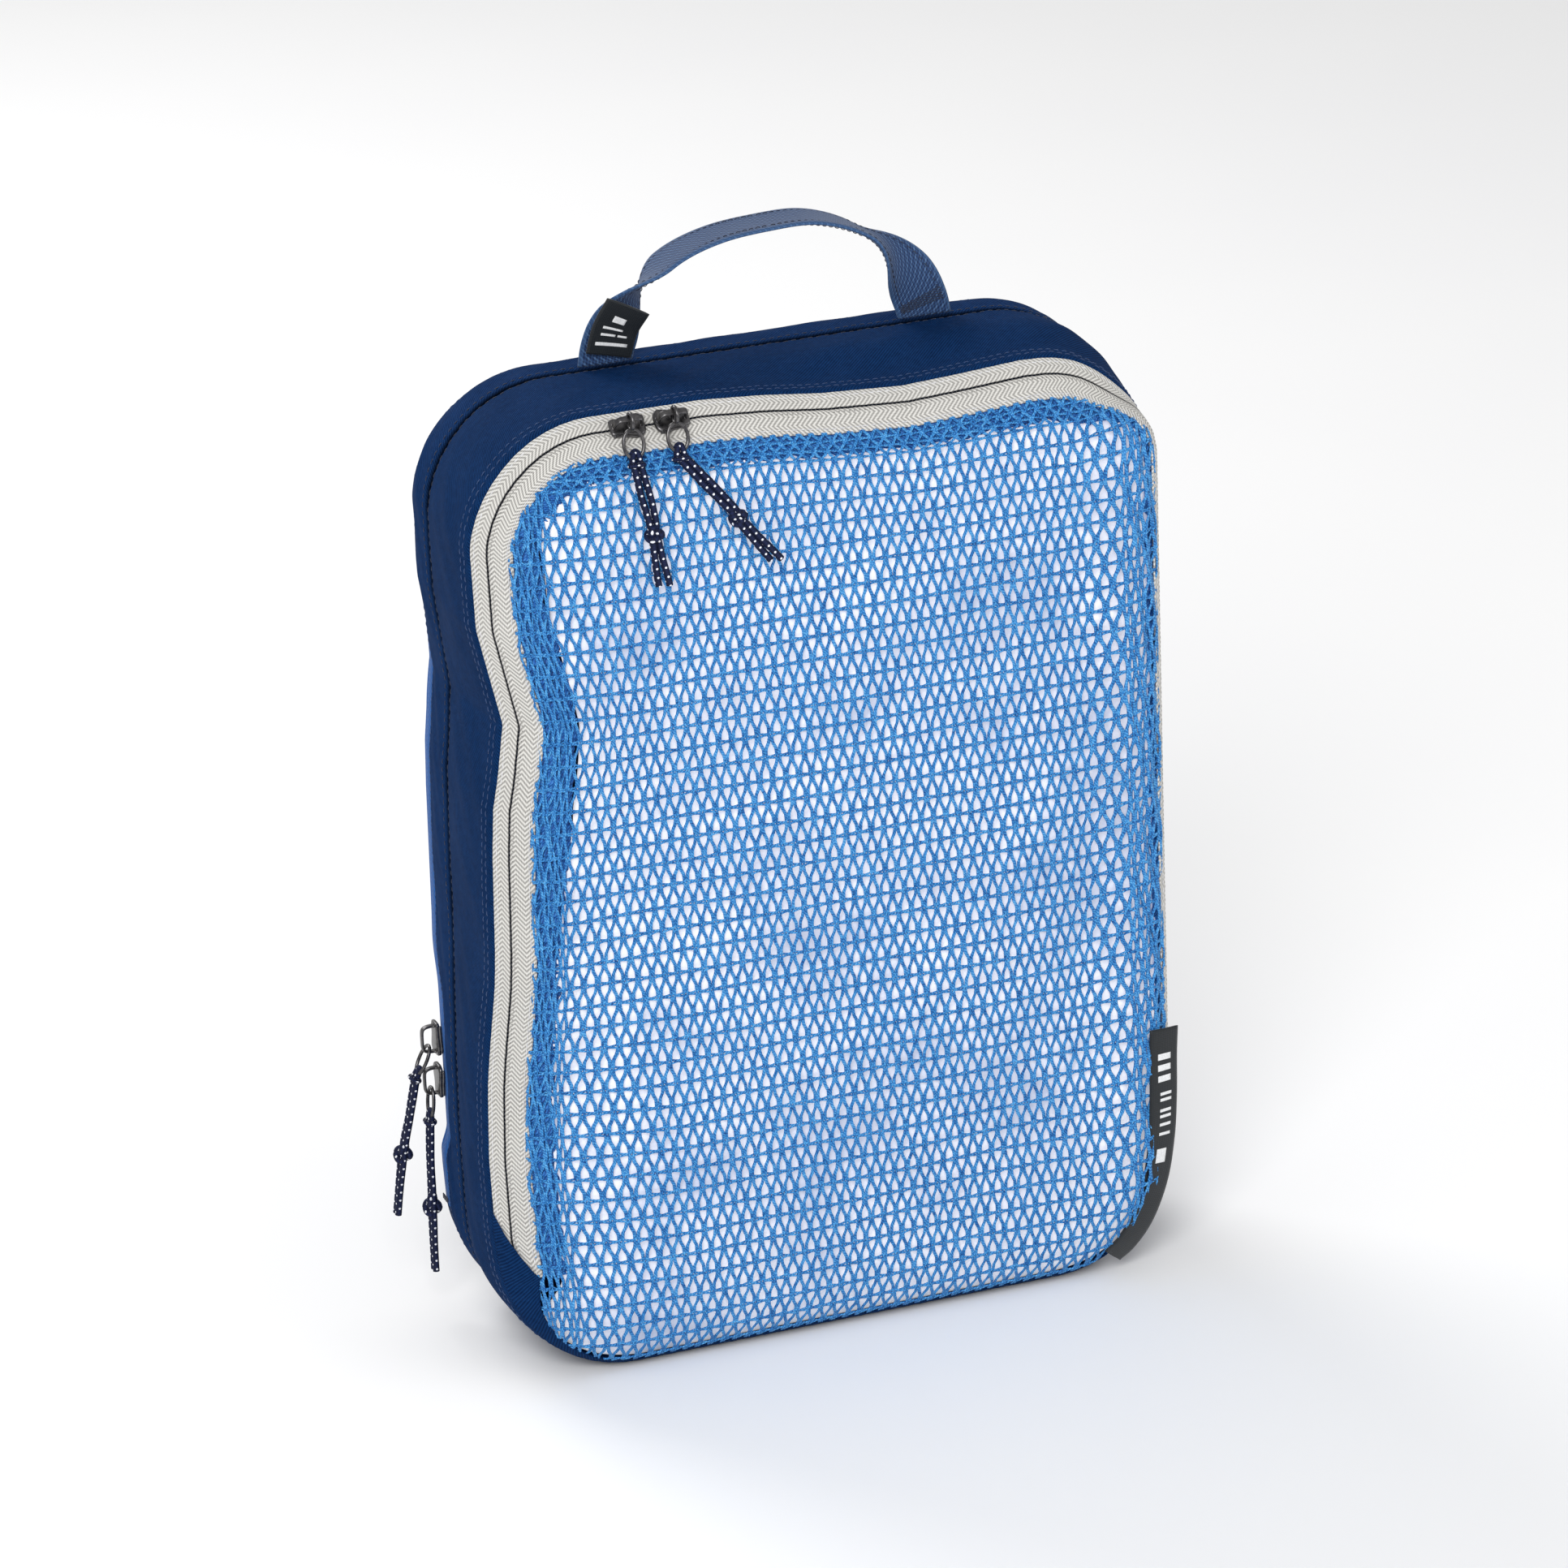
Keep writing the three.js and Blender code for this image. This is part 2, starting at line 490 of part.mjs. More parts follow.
// Rear zip: both sliders meet low on the left run.
const REAR_SLIDERS = [
  { name: 'rear_upper', z: 107, dir: -1, lean: 0.47, cord: [[-139.6, 28.8, 78], [-142, 31.3, 64], [-145.5, 33.4, 37]] },
  { name: 'rear_lower', z: 90.5, dir: 1, lean: 0.1, cord: [[-134.0, 25.2, 60], [-134.8, 23.4, 46], [-135.6, 22.4, 17]] },
];
const LOOP_HALF = 5.6;
for (const s of REAR_SLIDERS) {
  const bx = -WIDTH / 2, y = 26.3;
  add(`${s.name}_slider`, sliderBody(), GUNMETAL, 0.35, 0.9, place([bx, y, s.z], [0, 0, s.dir], [-1, 0, 0]));
  // The loop stands in the YZ plane round the crown's lower leg and leans out.
  const loop = loopGeometry(LOOP_HALF, 3.6);
  loop.rotateX(Math.PI / 2);
  loop.rotateZ(Math.PI / 2);
  loop.translate(0, 0, -LOOP_HALF);
  loop.rotateY(s.lean);
  loop.translate(bx - 4.6, y, s.z - 2.7);
  add(`${s.name}_puller`, loop, GUNMETAL, 0.35, 0.9);
  const drop = 2 * LOOP_HALF + 1.2;
  const start = [bx - 4.6 - drop * Math.sin(s.lean), y, s.z - 2.7 - drop * Math.cos(s.lean)];
  const c2 = new THREE.CatmullRomCurve3([start, ...s.cord].map((p) => new THREE.Vector3(...p)));
  const at = (k) => c2.getPointAt(k).toArray();
  add(`${s.name}_cord`, tube([at(0), at(0.15), at(0.3), at(0.44)], CORD_D, CORD_D / 2, 9), CORD_BLUE, 0.7);
  add(`${s.name}_cord_knot`, fitKnot(at(0.46), at(0.66)), CORD_BLUE, 0.7);
  add(`${s.name}_cord_tails`, tube([at(0.68), at(0.8), at(0.9), at(1)], CORD_D, CORD_D / 2, 6), CORD_BLUE, 0.7);
}

export default packingCube;
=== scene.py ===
import math

import bpy
import numpy as np
from mathutils import Matrix, Vector


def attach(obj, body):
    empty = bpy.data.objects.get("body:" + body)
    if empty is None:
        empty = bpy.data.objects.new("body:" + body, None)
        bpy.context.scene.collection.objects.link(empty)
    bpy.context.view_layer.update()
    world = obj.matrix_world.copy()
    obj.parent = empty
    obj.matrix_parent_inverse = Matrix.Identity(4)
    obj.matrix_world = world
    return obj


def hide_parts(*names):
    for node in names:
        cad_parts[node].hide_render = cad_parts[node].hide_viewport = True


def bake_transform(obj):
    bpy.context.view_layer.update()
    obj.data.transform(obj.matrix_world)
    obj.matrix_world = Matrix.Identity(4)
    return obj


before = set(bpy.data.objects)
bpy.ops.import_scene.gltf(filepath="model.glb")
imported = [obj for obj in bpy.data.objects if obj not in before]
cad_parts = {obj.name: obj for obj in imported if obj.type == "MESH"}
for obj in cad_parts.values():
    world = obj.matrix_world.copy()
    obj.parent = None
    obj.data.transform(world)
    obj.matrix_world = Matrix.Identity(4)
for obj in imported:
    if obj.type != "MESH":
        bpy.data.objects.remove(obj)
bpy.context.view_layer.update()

SHIFT = 13.0      # mm: the middle seam's plane lies this far behind the row origin
W, H, R = 254.0, 360.0, 45.0
FOLD = 42.0
rng = np.random.default_rng(7)

# --------------------------------------------------------------------------
# camera and light
# --------------------------------------------------------------------------
AZ, EL, ROLL, DIST, FPX = -19.7, 21.5, -2.35, 2.4, 3.41
a, e = math.radians(AZ), math.radians(EL)
back = Vector((math.sin(a) * math.cos(e), -math.cos(a) * math.cos(e), math.sin(e)))
right = Vector((math.cos(a), math.sin(a), 0))
up = back.cross(right)
ro = math.radians(ROLL)
right2 = math.cos(ro) * right + math.sin(ro) * up
up2 = -math.sin(ro) * right + math.cos(ro) * up
# the bag's middle falls a little below the middle of the frame
aim = Vector((0, 0.013, 0.180)) + up2 * (41 / 3.41 / 1000) - right2 * (2 / 3.41 / 1000)
cam_data = bpy.data.cameras.new("camera")
cam = bpy.data.objects.new("camera", cam_data)
bpy.context.scene.collection.objects.link(cam)
cam_data.sensor_width = 36
cam_data.lens = 36 * FPX * DIST * 1000 / 1932
cam_data.clip_start, cam_data.clip_end = 0.05, 50
rot = Matrix((right2, up2, back)).transposed()
cam.matrix_world = Matrix.Translation(aim + back * DIST) @ rot.to_4x4()
bpy.context.scene.camera = cam
bpy.context.scene.view_settings.view_transform = "Standard"


def area(name, loc, target, size, power, color=(1, 1, 1)):
    d = bpy.data.lights.new(name, "AREA")
    d.shape = "DISK"
    d.size, d.energy, d.color = size, power, color
    o = bpy.data.objects.new(name, d)
    bpy.context.scene.collection.objects.link(o)
    o.location = loc
    o.rotation_euler = (Vector(target) - Vector(loc)).to_track_quat("-Z", "Y").to_euler()
    return o


area("key", (-1.0, -1.8, 1.6), (0, 0, 0.18), 1.2, 33)
area("fill", (1.7, -1.5, 0.9), (0, 0, 0.18), 1.5, 9)
area("rim", (-0.6, 1.6, 1.5), (0, 0, 0.2), 1.2, 20)
world = bpy.data.worlds.new("studio")
bpy.context.scene.world = world
world.use_nodes = True
world.node_tree.nodes["Background"].inputs[0].default_value = (1, 1, 1, 1)
world.node_tree.nodes["Background"].inputs[1].default_value = 0.55

# --------------------------------------------------------------------------
# materials
# --------------------------------------------------------------------------


def srgb(r, g, b):
    return tuple(((c / 255) / 12.92 if c / 255 <= 0.04045 else ((c / 255 + 0.055) / 1.055) ** 2.4) for c in (r, g, b))


class Mat:
    """A small helper round one node tree."""

    def __init__(self, name, rough=0.8, metal=0.0, sheen=0.0, spec=0.5):
        self.m = bpy.data.materials.new(name)
        self.m.use_nodes = True
        self.t = self.m.node_tree
        self.n = self.t.nodes
        self.bsdf = self.n["Principled BSDF"]
        self.bsdf.inputs["Roughness"].default_value = rough
        self.bsdf.inputs["Metallic"].default_value = metal
        self.bsdf.inputs["Specular IOR Level"].default_value = spec
        if sheen:
            self.bsdf.inputs["Sheen Weight"].default_value = sheen
            self.bsdf.inputs["Sheen Roughness"].default_value = 0.45

    def new(self, kind, **kw):
        nd = self.n.new(kind)
        for k, v in kw.items():
            setattr(nd, k, v)
        return nd

    def put(self, socket, v):
        if isinstance(v, bpy.types.NodeSocket):
            self.t.links.new(v, socket)
        elif isinstance(v, tuple) and len(v) == 3 and socket.type == "RGBA":
            socket.default_value = (*v, 1)
        else:
            socket.default_value = v

    def fab(self):
        """Cloth coordinates in mm: along the cloth, across it."""
        at = self.new("ShaderNodeAttribute", attribute_name="fab")
        sep = self.new("ShaderNodeSeparateXYZ")
        self.put(sep.inputs[0], at.outputs["Vector"])
        self.side = sep.outputs[2]
        return sep.outputs[0], sep.outputs[1], at.outputs["Vector"]

    def obj(self, scale=1000.0):
        tc = self.new("ShaderNodeTexCoord")
        mp = self.new("ShaderNodeMapping")
        self.put(mp.inputs[0], tc.outputs["Object"])
        mp.inputs["Scale"].default_value = (scale,) * 3
        return mp.outputs[0]

    def math(self, op, a, b=None, c=None, clamp=False):
        nd = self.new("ShaderNodeMath", operation=op, use_clamp=clamp)
        self.put(nd.inputs[0], a)
        if b is not None:
            self.put(nd.inputs[1], b)
        if c is not None:
            self.put(nd.inputs[2], c)
        return nd.outputs[0]

    def noise(self, vec, scale, detail=3.0, rough=0.55):
        nd = self.new("ShaderNodeTexNoise")
        self.put(nd.inputs["Vector"], vec)
        nd.inputs["Scale"].default_value = scale
        nd.inputs["Detail"].default_value = detail
        nd.inputs["Roughness"].default_value = rough
        return nd.outputs["Fac"]

    def ramp(self, fac, stops, linear=True):
        nd = self.new("ShaderNodeValToRGB")
        self.put(nd.inputs[0], fac)
        el = nd.color_ramp.elements
        while len(el) < len(stops):
            el.new(0.5)
        for s, (p, c) in zip(el, stops):
            s.position = p
            s.color = (*c, 1) if len(c) == 3 else c
        return nd.outputs[0]

    def mix(self, fac, c1, c2, blend="MIX"):
        nd = self.new("ShaderNodeMix", data_type="RGBA", blend_type=blend)
        self.put(nd.inputs[0], fac)
        self.put(nd.inputs[6], c1)
        self.put(nd.inputs[7], c2)
        return nd.outputs[2]

    def bump(self, height, strength=0.4, dist=0.0004, normal=None):
        nd = self.new("ShaderNodeBump")
        nd.inputs["Strength"].default_value = strength
        nd.inputs["Distance"].default_value = dist
        self.put(nd.inputs["Height"], height)
        if normal is not None:
            self.put(nd.inputs["Normal"], normal)
        return nd.outputs[0]

    def out(self, color=None, rough=None, normal=None):
        if color is not None:
            self.put(self.bsdf.inputs["Base Color"], color)
        if rough is not None:
            self.put(self.bsdf.inputs["Roughness"], rough)
        if normal is not None:
            self.put(self.bsdf.inputs["Normal"], normal)
        return self.m


def twill(name, dark, light, pitch=1.25, sheen=0.05, seam=False):
    """Fine diagonal twill: ribs at 45 degrees crossed by the weft, with wear and lint; with seam, a painted shade
    along the middle seam.
    """
    k = Mat(name, 0.9, sheen=0.0, spec=0.03)
    u, v, vec = k.fab()
    d = k.math("ADD", u, v)
    rib = k.math("SINE", k.math("MULTIPLY", d, 2 * math.pi / pitch))
    yarn = k.math("SINE", k.math("MULTIPLY", k.math("SUBTRACT", u, v), 2 * math.pi / (pitch * 0.55)))
    weave = k.math("ADD", k.math("MULTIPLY", rib, 0.62), k.math("MULTIPLY", yarn, 0.38))
    weave01 = k.math("MULTIPLY_ADD", weave, 0.5, 0.5)
    cloud = k.noise(vec, 0.035, 3, 0.6)
    lint = k.noise(vec, 1.7, 2, 0.7)
    slub = k.noise(vec, 0.42, 2, 0.6)
    c = k.mix(k.math("MULTIPLY_ADD", slub, 0.7, k.math("MULTIPLY_ADD", weave01, 1.1, -0.4), clamp=True), dark, light)
    c = k.mix(k.math("MULTIPLY", cloud, 0.5), c, tuple(0.72 * x for x in dark))
    c = k.mix(k.math("MULTIPLY", k.math("GREATER_THAN", lint, 0.67), 0.3), c, tuple(min(1, 2.2 * x + 0.01) for x in light))
    if seam:
        # painted shade: the cloth is darkened towards near black where it turns into the middle seam
        seam_shade = k.math("MULTIPLY_ADD", k.math("ABSOLUTE", v), -0.7, 1.55, clamp=True)
        c = k.mix(seam_shade, c, srgb(2, 8, 22))
    h = k.math("ADD", weave01, k.math("MULTIPLY", lint, 0.5))
    r = k.math("MULTIPLY_ADD", cloud, 0.2, 0.66)
    return k.out(c, r, k.bump(h, 0.55, 0.00022))


def herringbone(name, base, shade, chevron=6.6, pitch=1.75, split=3.3, perforate=None):
    """Woven zip tape: chevrons that meet along the tape, and one line of needle holes."""
    k = Mat(name, 0.72, sheen=0.04, spec=0.25)
    u, v, vec = k.fab()
    # v is across the tape; the diagonals turn over at each chevron column
    tri = k.math("PINGPONG", v, split)
    d = k.math("ADD", u, k.math("MULTIPLY", tri, 1.0))
    rib = k.math("MULTIPLY_ADD", k.math("SINE", k.math("MULTIPLY", d, 2 * math.pi / pitch)), 0.5, 0.5)
    warp = k.math("MULTIPLY_ADD", k.math("SINE", k.math("MULTIPLY", v, 2 * math.pi / 0.62)), 0.5, 0.5)
    weave = k.math("MULTIPLY_ADD", warp, 0.3, k.math("MULTIPLY", rib, 0.7))
    cloud = k.noise(vec, 0.05, 3)
    c = k.mix(weave, shade, base)
    c = k.mix(k.math("MULTIPLY", cloud, 0.25), c, tuple(0.86 * x for x in base))
    h = weave
    if perforate is not None:
        du = k.math("SUBTRACT", k.math("FLOORED_MODULO", u, 1.9), 0.95)
        dv = k.math("SUBTRACT", v, perforate)
        dist = k.math("SQRT", k.math("ADD", k.math("MULTIPLY", du, du), k.math("MULTIPLY", dv, dv)))
        hole = k.math("LESS_THAN", dist, 0.33)
        c = k.mix(k.math("MULTIPLY", hole, 0.75), c, tuple(0.22 * x for x in base))
        h = k.math("SUBTRACT", weave, hole)
    return k.out(c, k.math("MULTIPLY_ADD", cloud, 0.15, 0.66), k.bump(h, 0.5, 0.00025))


NAVY_D, NAVY_L = srgb(3, 24, 56), srgb(22, 62, 114)
M_TWILL = twill("navy_twill_cloth", NAVY_D, NAVY_L)
M_TWILL2 = twill("navy_twill_rear", srgb(6, 27, 62), srgb(28, 66, 118))
# gusset cloth: these copies carry the painted shade along the middle seam
M_GUSSET = twill("navy_twill_gusset", NAVY_D, NAVY_L, seam=True)
M_GUSSET2 = twill("navy_twill_gusset_rear", srgb(6, 27, 62), srgb(28, 66, 118), seam=True)
M_LINING = twill("navy_lining_cloth", srgb(10, 26, 52), srgb(20, 44, 80), pitch=0.9)
M_TAPE_W = herringbone("white_zip_tape_cloth", srgb(234, 232, 227), srgb(104, 102, 98), perforate=2.2)
M_TAPE_WO = herringbone("white_zip_tape_outer", srgb(234, 232, 227), srgb(110, 108, 104))
M_TAPE_B = herringbone("blue_zip_tape_cloth", srgb(26, 100, 176), srgb(8, 52, 112))


def knit_material(name, lit, mid, deep, strand=0.0):
    k = Mat(name, 0.55, sheen=0.05, spec=0.35)
    u, v, vec = k.fab()
    # v runs round the strand: twisted filaments show as fine slanting lines
    tw = k.math("MULTIPLY_ADD", k.math("SINE", k.math("ADD", k.math("MULTIPLY", u, 2 * math.pi / 1.1), k.math("MULTIPLY", v, 9.0))), 0.5, 0.5)
    n = k.noise(k.obj(1000), 0.5, 3, 0.7)
    n2 = k.noise(k.obj(1000), 0.05, 2, 0.6)
    f = k.math("ADD", k.math("MULTIPLY", tw, 0.42), k.math("MULTIPLY_ADD", n, 1.5, -0.45), clamp=True)
    c = k.ramp(f, [(0.1, deep), (0.5, mid), (0.92, lit)])
    c = k.mix(k.math("MULTIPLY", n2, 0.2), c, mid)
    # painted shade: each strand is darkened towards its deep colour on the side of its round that faces into the bag,
    # away from the light
    under = k.math("MULTIPLY_ADD", k.side, 0.75, 0.42, clamp=True)
    c = k.mix(k.math("MULTIPLY", under, strand), c, deep)
    return k.out(c, k.math("MULTIPLY_ADD", n, 0.2, 0.5), k.bump(tw, 0.6, 0.0002))


# strand sets how strongly the painted side shade darkens the yarn
M_MESH = knit_material("blue_knit_yarn", srgb(112, 190, 238), srgb(42, 134, 206), srgb(2, 54, 126), strand=0.85)
M_BUNCH = knit_material("blue_knit_bunched", srgb(84, 164, 230), srgb(30, 106, 192), srgb(4, 34, 96))


def tissue_material():
    k = Mat("white_tissue_paper", 0.85, spec=0.2)
    vec = k.obj(1000)
    n = k.noise(vec, 0.017, 4, 0.62)
    n2 = k.noise(vec, 0.12, 3, 0.5)
    fibres = k.noise(vec, 1.4, 3, 0.7)
    # painted shade: the noise ramp lays grey-lavender patches on the white paper, standing for the shadows of its
    # crumples
    c = k.ramp(n, [(0.34, srgb(198, 208, 226)), (0.50, srgb(243, 245, 250)), (0.72, srgb(254, 254, 254))])
    # painted shade: a second noise tints patches of the paper lavender
    c = k.mix(k.math("MULTIPLY", n2, 0.35), c, srgb(232, 230, 244))
    # painted glow: the paper emits its own colour, standing for light passing through it and brightening it
    k.put(k.bsdf.inputs["Emission Color"], c)
    k.bsdf.inputs["Emission Strength"].default_value = 0.34
    return k.out(c, k.math("MULTIPLY_ADD", fibres, 0.2, 0.72), k.bump(k.math("ADD", n2, k.math("MULTIPLY", fibres, 0.2)), 0.5, 0.0012))


M_TISSUE = tissue_material()


def webbing_material():
    k = Mat("navy_webbing_weave", 0.7, sheen=0.12, spec=0.3)
    u, v, vec = k.fab()
    rib = k.math("MULTIPLY_ADD", k.math("SINE", k.math("MULTIPLY", v, 2 * math.pi / 1.15)), 0.5, 0.5)
    pick = k.math("MULTIPLY_ADD", k.math("SINE", k.math("ADD", k.math("MULTIPLY", u, 2 * math.pi / 0.95), k.math("MULTIPLY", v, 2.7))), 0.5, 0.5)
    weave = k.math("ADD", k.math("MULTIPLY", rib, 0.5), k.math("MULTIPLY", pick, 0.5))
    cloud = k.noise(vec, 0.06, 3)
    c = k.mix(weave, srgb(8, 26, 62), srgb(50, 82, 128))
    tw = k.math("SINE", k.math("MULTIPLY", k.math("ADD", u, k.math("MULTIPLY", v, 0.9)), 2 * math.pi / 2.3))
    c = k.mix(k.math("MULTIPLY", k.math("MULTIPLY", k.math("GREATER_THAN", tw, 0.45), weave), 0.75), c, srgb(96, 132, 176))
    edge = k.math("GREATER_THAN", k.math("ABSOLUTE", v), 8.9)
    c = k.mix(k.math("MULTIPLY", edge, 0.5), c, srgb(62, 98, 142))
    c = k.mix(k.math("MULTIPLY", cloud, 0.25), c, srgb(22, 46, 86))
    return k.out(c, k.math("MULTIPLY_ADD", cloud, 0.2, 0.6), k.bump(weave, 0.6, 0.0003))


M_WEB = webbing_material()


def ribbon_material(name):
    k = Mat(name, 0.5, sheen=0.1, spec=0.4)
    u, v, vec = k.fab()
    weft = k.math("MULTIPLY_ADD", k.math("SINE", k.math("MULTIPLY", u, 2 * math.pi / 0.55)), 0.5, 0.5)
    warp = k.math("MULTIPLY_ADD", k.math("SINE", k.math("MULTIPLY", v, 2 * math.pi / 0.7)), 0.5, 0.5)
    w = k.math("MULTIPLY", weft, warp)
    cloud = k.noise(vec, 0.12, 3)
    c = k.mix(w, srgb(12, 16, 20), srgb(34, 40, 46))
    c = k.mix(k.math("MULTIPLY", cloud, 0.4), c, srgb(20, 28, 32))
    return k.out(c, k.math("MULTIPLY_ADD", cloud, 0.2, 0.42), k.bump(w, 0.4, 0.00015))


M_RIBBON = ribbon_material("black_satin_ribbon")


def print_material():
    k = Mat("pale_raised_print", 0.55, spec=0.4)
    n = k.noise(k.obj(1000), 2.2, 2)
    c = k.ramp(n, [(0.3, srgb(210, 212, 214)), (0.7, srgb(240, 240, 240))])
    return k.out(c, k.math("MULTIPLY_ADD", n, 0.2, 0.45), k.bump(n, 0.3, 0.0001))


M_PRINT = print_material()


def gunmetal_material():
    k = Mat("black_nickel_metal", 0.3, metal=0.95)
    vec = k.obj(1000)
    n = k.noise(vec, 0.35, 4, 0.6)
    s = k.noise(vec, 3.0, 2, 0.7)
    c = k.ramp(n, [(0.3, srgb(62, 62, 66)), (0.7, srgb(112, 110, 110))])
    c = k.mix(k.math("MULTIPLY", k.math("GREATER_THAN", s, 0.66), 0.35), c, srgb(168, 164, 160))
    return k.out(c, k.math("MULTIPLY_ADD", n, 0.28, 0.16), k.bump(s, 0.12, 0.0001))


M_METAL = gunmetal_material()


def cord_material():
    """Round braid: two sets of carriers cross, and a light tracer yarn shows as flecks."""
    k = Mat("braided_cord", 0.7, sheen=0.0, spec=0.2)
    u, v, vec = k.fab()     # u along in mm, v round in turns
    p = k.math("ADD", k.math("MULTIPLY", u, 1 / 1.5), k.math("MULTIPLY", v, 2.0))
    q = k.math("SUBTRACT", k.math("MULTIPLY", u, 1 / 1.5), k.math("MULTIPLY", v, 2.0))
    sp = k.math("SINE", k.math("MULTIPLY", p, 2 * math.pi))
    sq = k.math("SINE", k.math("MULTIPLY", q, 2 * math.pi))
    braid = k.math("MULTIPLY_ADD", k.math("MULTIPLY", sp, sq), 0.5, 0.5)
    p2 = k.math("SINE", k.math("MULTIPLY", k.math("ADD", k.math("MULTIPLY", u, 1 / 6.6), k.math("MULTIPLY", v, 1.0)), 2 * math.pi))
    q2 = k.math("SINE", k.math("MULTIPLY", k.math("SUBTRACT", k.math("MULTIPLY", u, 1 / 6.6), k.math("MULTIPLY", v, 1.0)), 2 * math.pi))
    fleck = k.math("GREATER_THAN", k.math("ABSOLUTE", k.math("MULTIPLY", p2, q2)), 0.87)
    c = k.mix(braid, srgb(6, 11, 32), srgb(24, 34, 72))
    c = k.mix(k.math("MULTIPLY", fleck, 0.95), c, srgb(236, 238, 244))
    return k.out(c, k.math("MULTIPLY_ADD", fleck, -0.2, 0.66), k.bump(braid, 0.7, 0.0003))


M_CORD = cord_material()


def coil_material(name, a_, b_):
    k = Mat(name, 0.42, spec=0.5)
    n = k.noise(k.obj(1000), 0.7, 2)
    return k.out(k.ramp(n, [(0.3, a_), (0.7, b_)]), k.math("MULTIPLY_ADD", n, 0.2, 0.32), k.bump(n, 0.2, 0.0001))


# front zip coils: near black, partly the nylon's own dark colour and partly painted shade for the shadowed slit
# between the white tapes
M_COIL_SHADE = coil_material("nylon_coil_shade_dark", srgb(10, 12, 18), srgb(44, 48, 58))
M_COIL_B = coil_material("nylon_coil_blue", srgb(16, 72, 140), srgb(36, 104, 180))


def thread_material(name, a_, b_):
    k = Mat(name, 0.6, sheen=0.2, spec=0.4)
    n = k.noise(k.obj(1000), 1.6, 2)
    tw = k.math("MULTIPLY_ADD", k.math("SINE", k.math("MULTIPLY", n, 30.0)), 0.5, 0.5)
    return k.out(k.ramp(n, [(0.3, a_), (0.7, b_)]), k.math("MULTIPLY_ADD", n, 0.2, 0.5), k.bump(tw, 0.3, 0.0001))


M_BINDING = twill("navy_seam_binding", srgb(2, 6, 16), srgb(6, 14, 30))
M_THREAD = thread_material("navy_thread", srgb(20, 46, 88), srgb(40, 72, 120))
M_THREAD_D = thread_material("navy_seam_thread", srgb(6, 22, 52), srgb(16, 44, 86))
M_THREAD_W = thread_material("pale_thread", srgb(206, 206, 210), srgb(232, 232, 234))
M_THREAD_D = thread_material("dark_thread", srgb(14, 24, 46), srgb(30, 44, 74))


# floor
def floor():
    me = bpy.data.meshes.new("floor")
    s = 14.0
    me.from_pydata([(-s, -s, 0), (s, -s, 0), (s, s, 0), (-s, s, 0)], [], [(0, 1, 2, 3)])
    o = bpy.data.objects.new("floor", me)
    bpy.context.scene.collection.objects.link(o)
    o.location.z = -0.0004
    k = Mat("pale_floor", 0.8, spec=0.2)
    n = k.noise(k.obj(1), 3.0, 2)
    me.materials.append(k.out(k.ramp(n, [(0.3, (0.955, 0.955, 0.96)), (0.7, (0.97, 0.97, 0.97))])))


floor()

# --------------------------------------------------------------------------
# geometry helpers: millimetres, middle seam in the plane y = 0
# --------------------------------------------------------------------------
QC = math.pi / 2 * R
SEG = [W / 2 - R, QC, H - 2 * R, QC, W - 2 * R, QC, H - 2 * R, QC, W / 2 - R]
CUM = np.concatenate([[0], np.cumsum(SEG)])
PERIM = CUM[-1]
REAR_D = [0, 0.3, 1.0, 3.6, 9, 20, 42, 200]
REAR_Y = [19.6, 26, 28.4, 31.4, 33.8, 35.6, 37.2, 38]


def smooth(x, a, b):
    t = np.clip((np.asarray(x, float) - a) / (b - a), 0, 1)
    return t * t * (3 - 2 * t)


def front_y(d):
    return -46 - 18 * (1 - np.exp(-np.maximum(np.asarray(d, float), 0) / 11))


def rear_y(d):
    return np.interp(d, REAR_D, REAR_Y)


def outline(s):
    """Point and outward normal in XZ, s mm round from the middle of the bottom, right side first."""
    s = np.mod(np.asarray(s, float), PERIM)
    k = np.clip(np.searchsorted(CUM, s, side="right") - 1, 0, 8)
    t = s - CUM[k]
    x, z, nx, nz = (np.zeros_like(s) for _ in range(4))
    flat = {0: (0, 0, 1, 0, 0, -1), 2: (W / 2, R, 0, 1, 1, 0), 4: (W / 2 - R, H, -1, 0, 0, 1),
            6: (-W / 2, H - R, 0, -1, -1, 0), 8: (-W / 2 + R, 0, 1, 0, 0, -1)}
    for i, (px, pz, dx, dz, ax, az) in flat.items():
        m = k == i
        x[m], z[m], nx[m], nz[m] = px + dx * t[m], pz + dz * t[m], ax, az
    turn = {1: (W / 2 - R, R, -90), 3: (W / 2 - R, H - R, 0), 5: (-W / 2 + R, H - R, 90), 7: (-W / 2 + R, R, 180)}
    for i, (cx, cz, a0) in turn.items():
        m = k == i
        an = np.radians(a0) + t[m] / R
        nx[m], nz[m] = np.cos(an), np.sin(an)
        x[m], z[m] = cx + R * nx[m], cz + R * nz[m]
    return x, z, nx, nz


def inset(x, z):
    qx, qz = np.abs(x) - (W / 2 - R), np.abs(z - H / 2) - (H / 2 - R)
    return R - (np.hypot(np.maximum(qx, 0), np.maximum(qz, 0)) + np.minimum(np.maximum(qx, qz), 0))


def edge_normal(x, z):
    qx, qz = np.abs(x) - (W / 2 - R), np.abs(z - H / 2) - (H / 2 - R)
    cx, cz = np.maximum(qx, 0), np.maximum(qz, 0)
    deep = (cx + cz) < 1e-6
    cx = np.where(deep & (qx > qz), 1.0, cx)
    cz = np.where(deep & (qx <= qz), 1.0, cz)
    ln = np.maximum(np.hypot(cx, cz), 1e-9)
    return np.sign(x) * cx / ln, np.sign(z - H / 2) * cz / ln


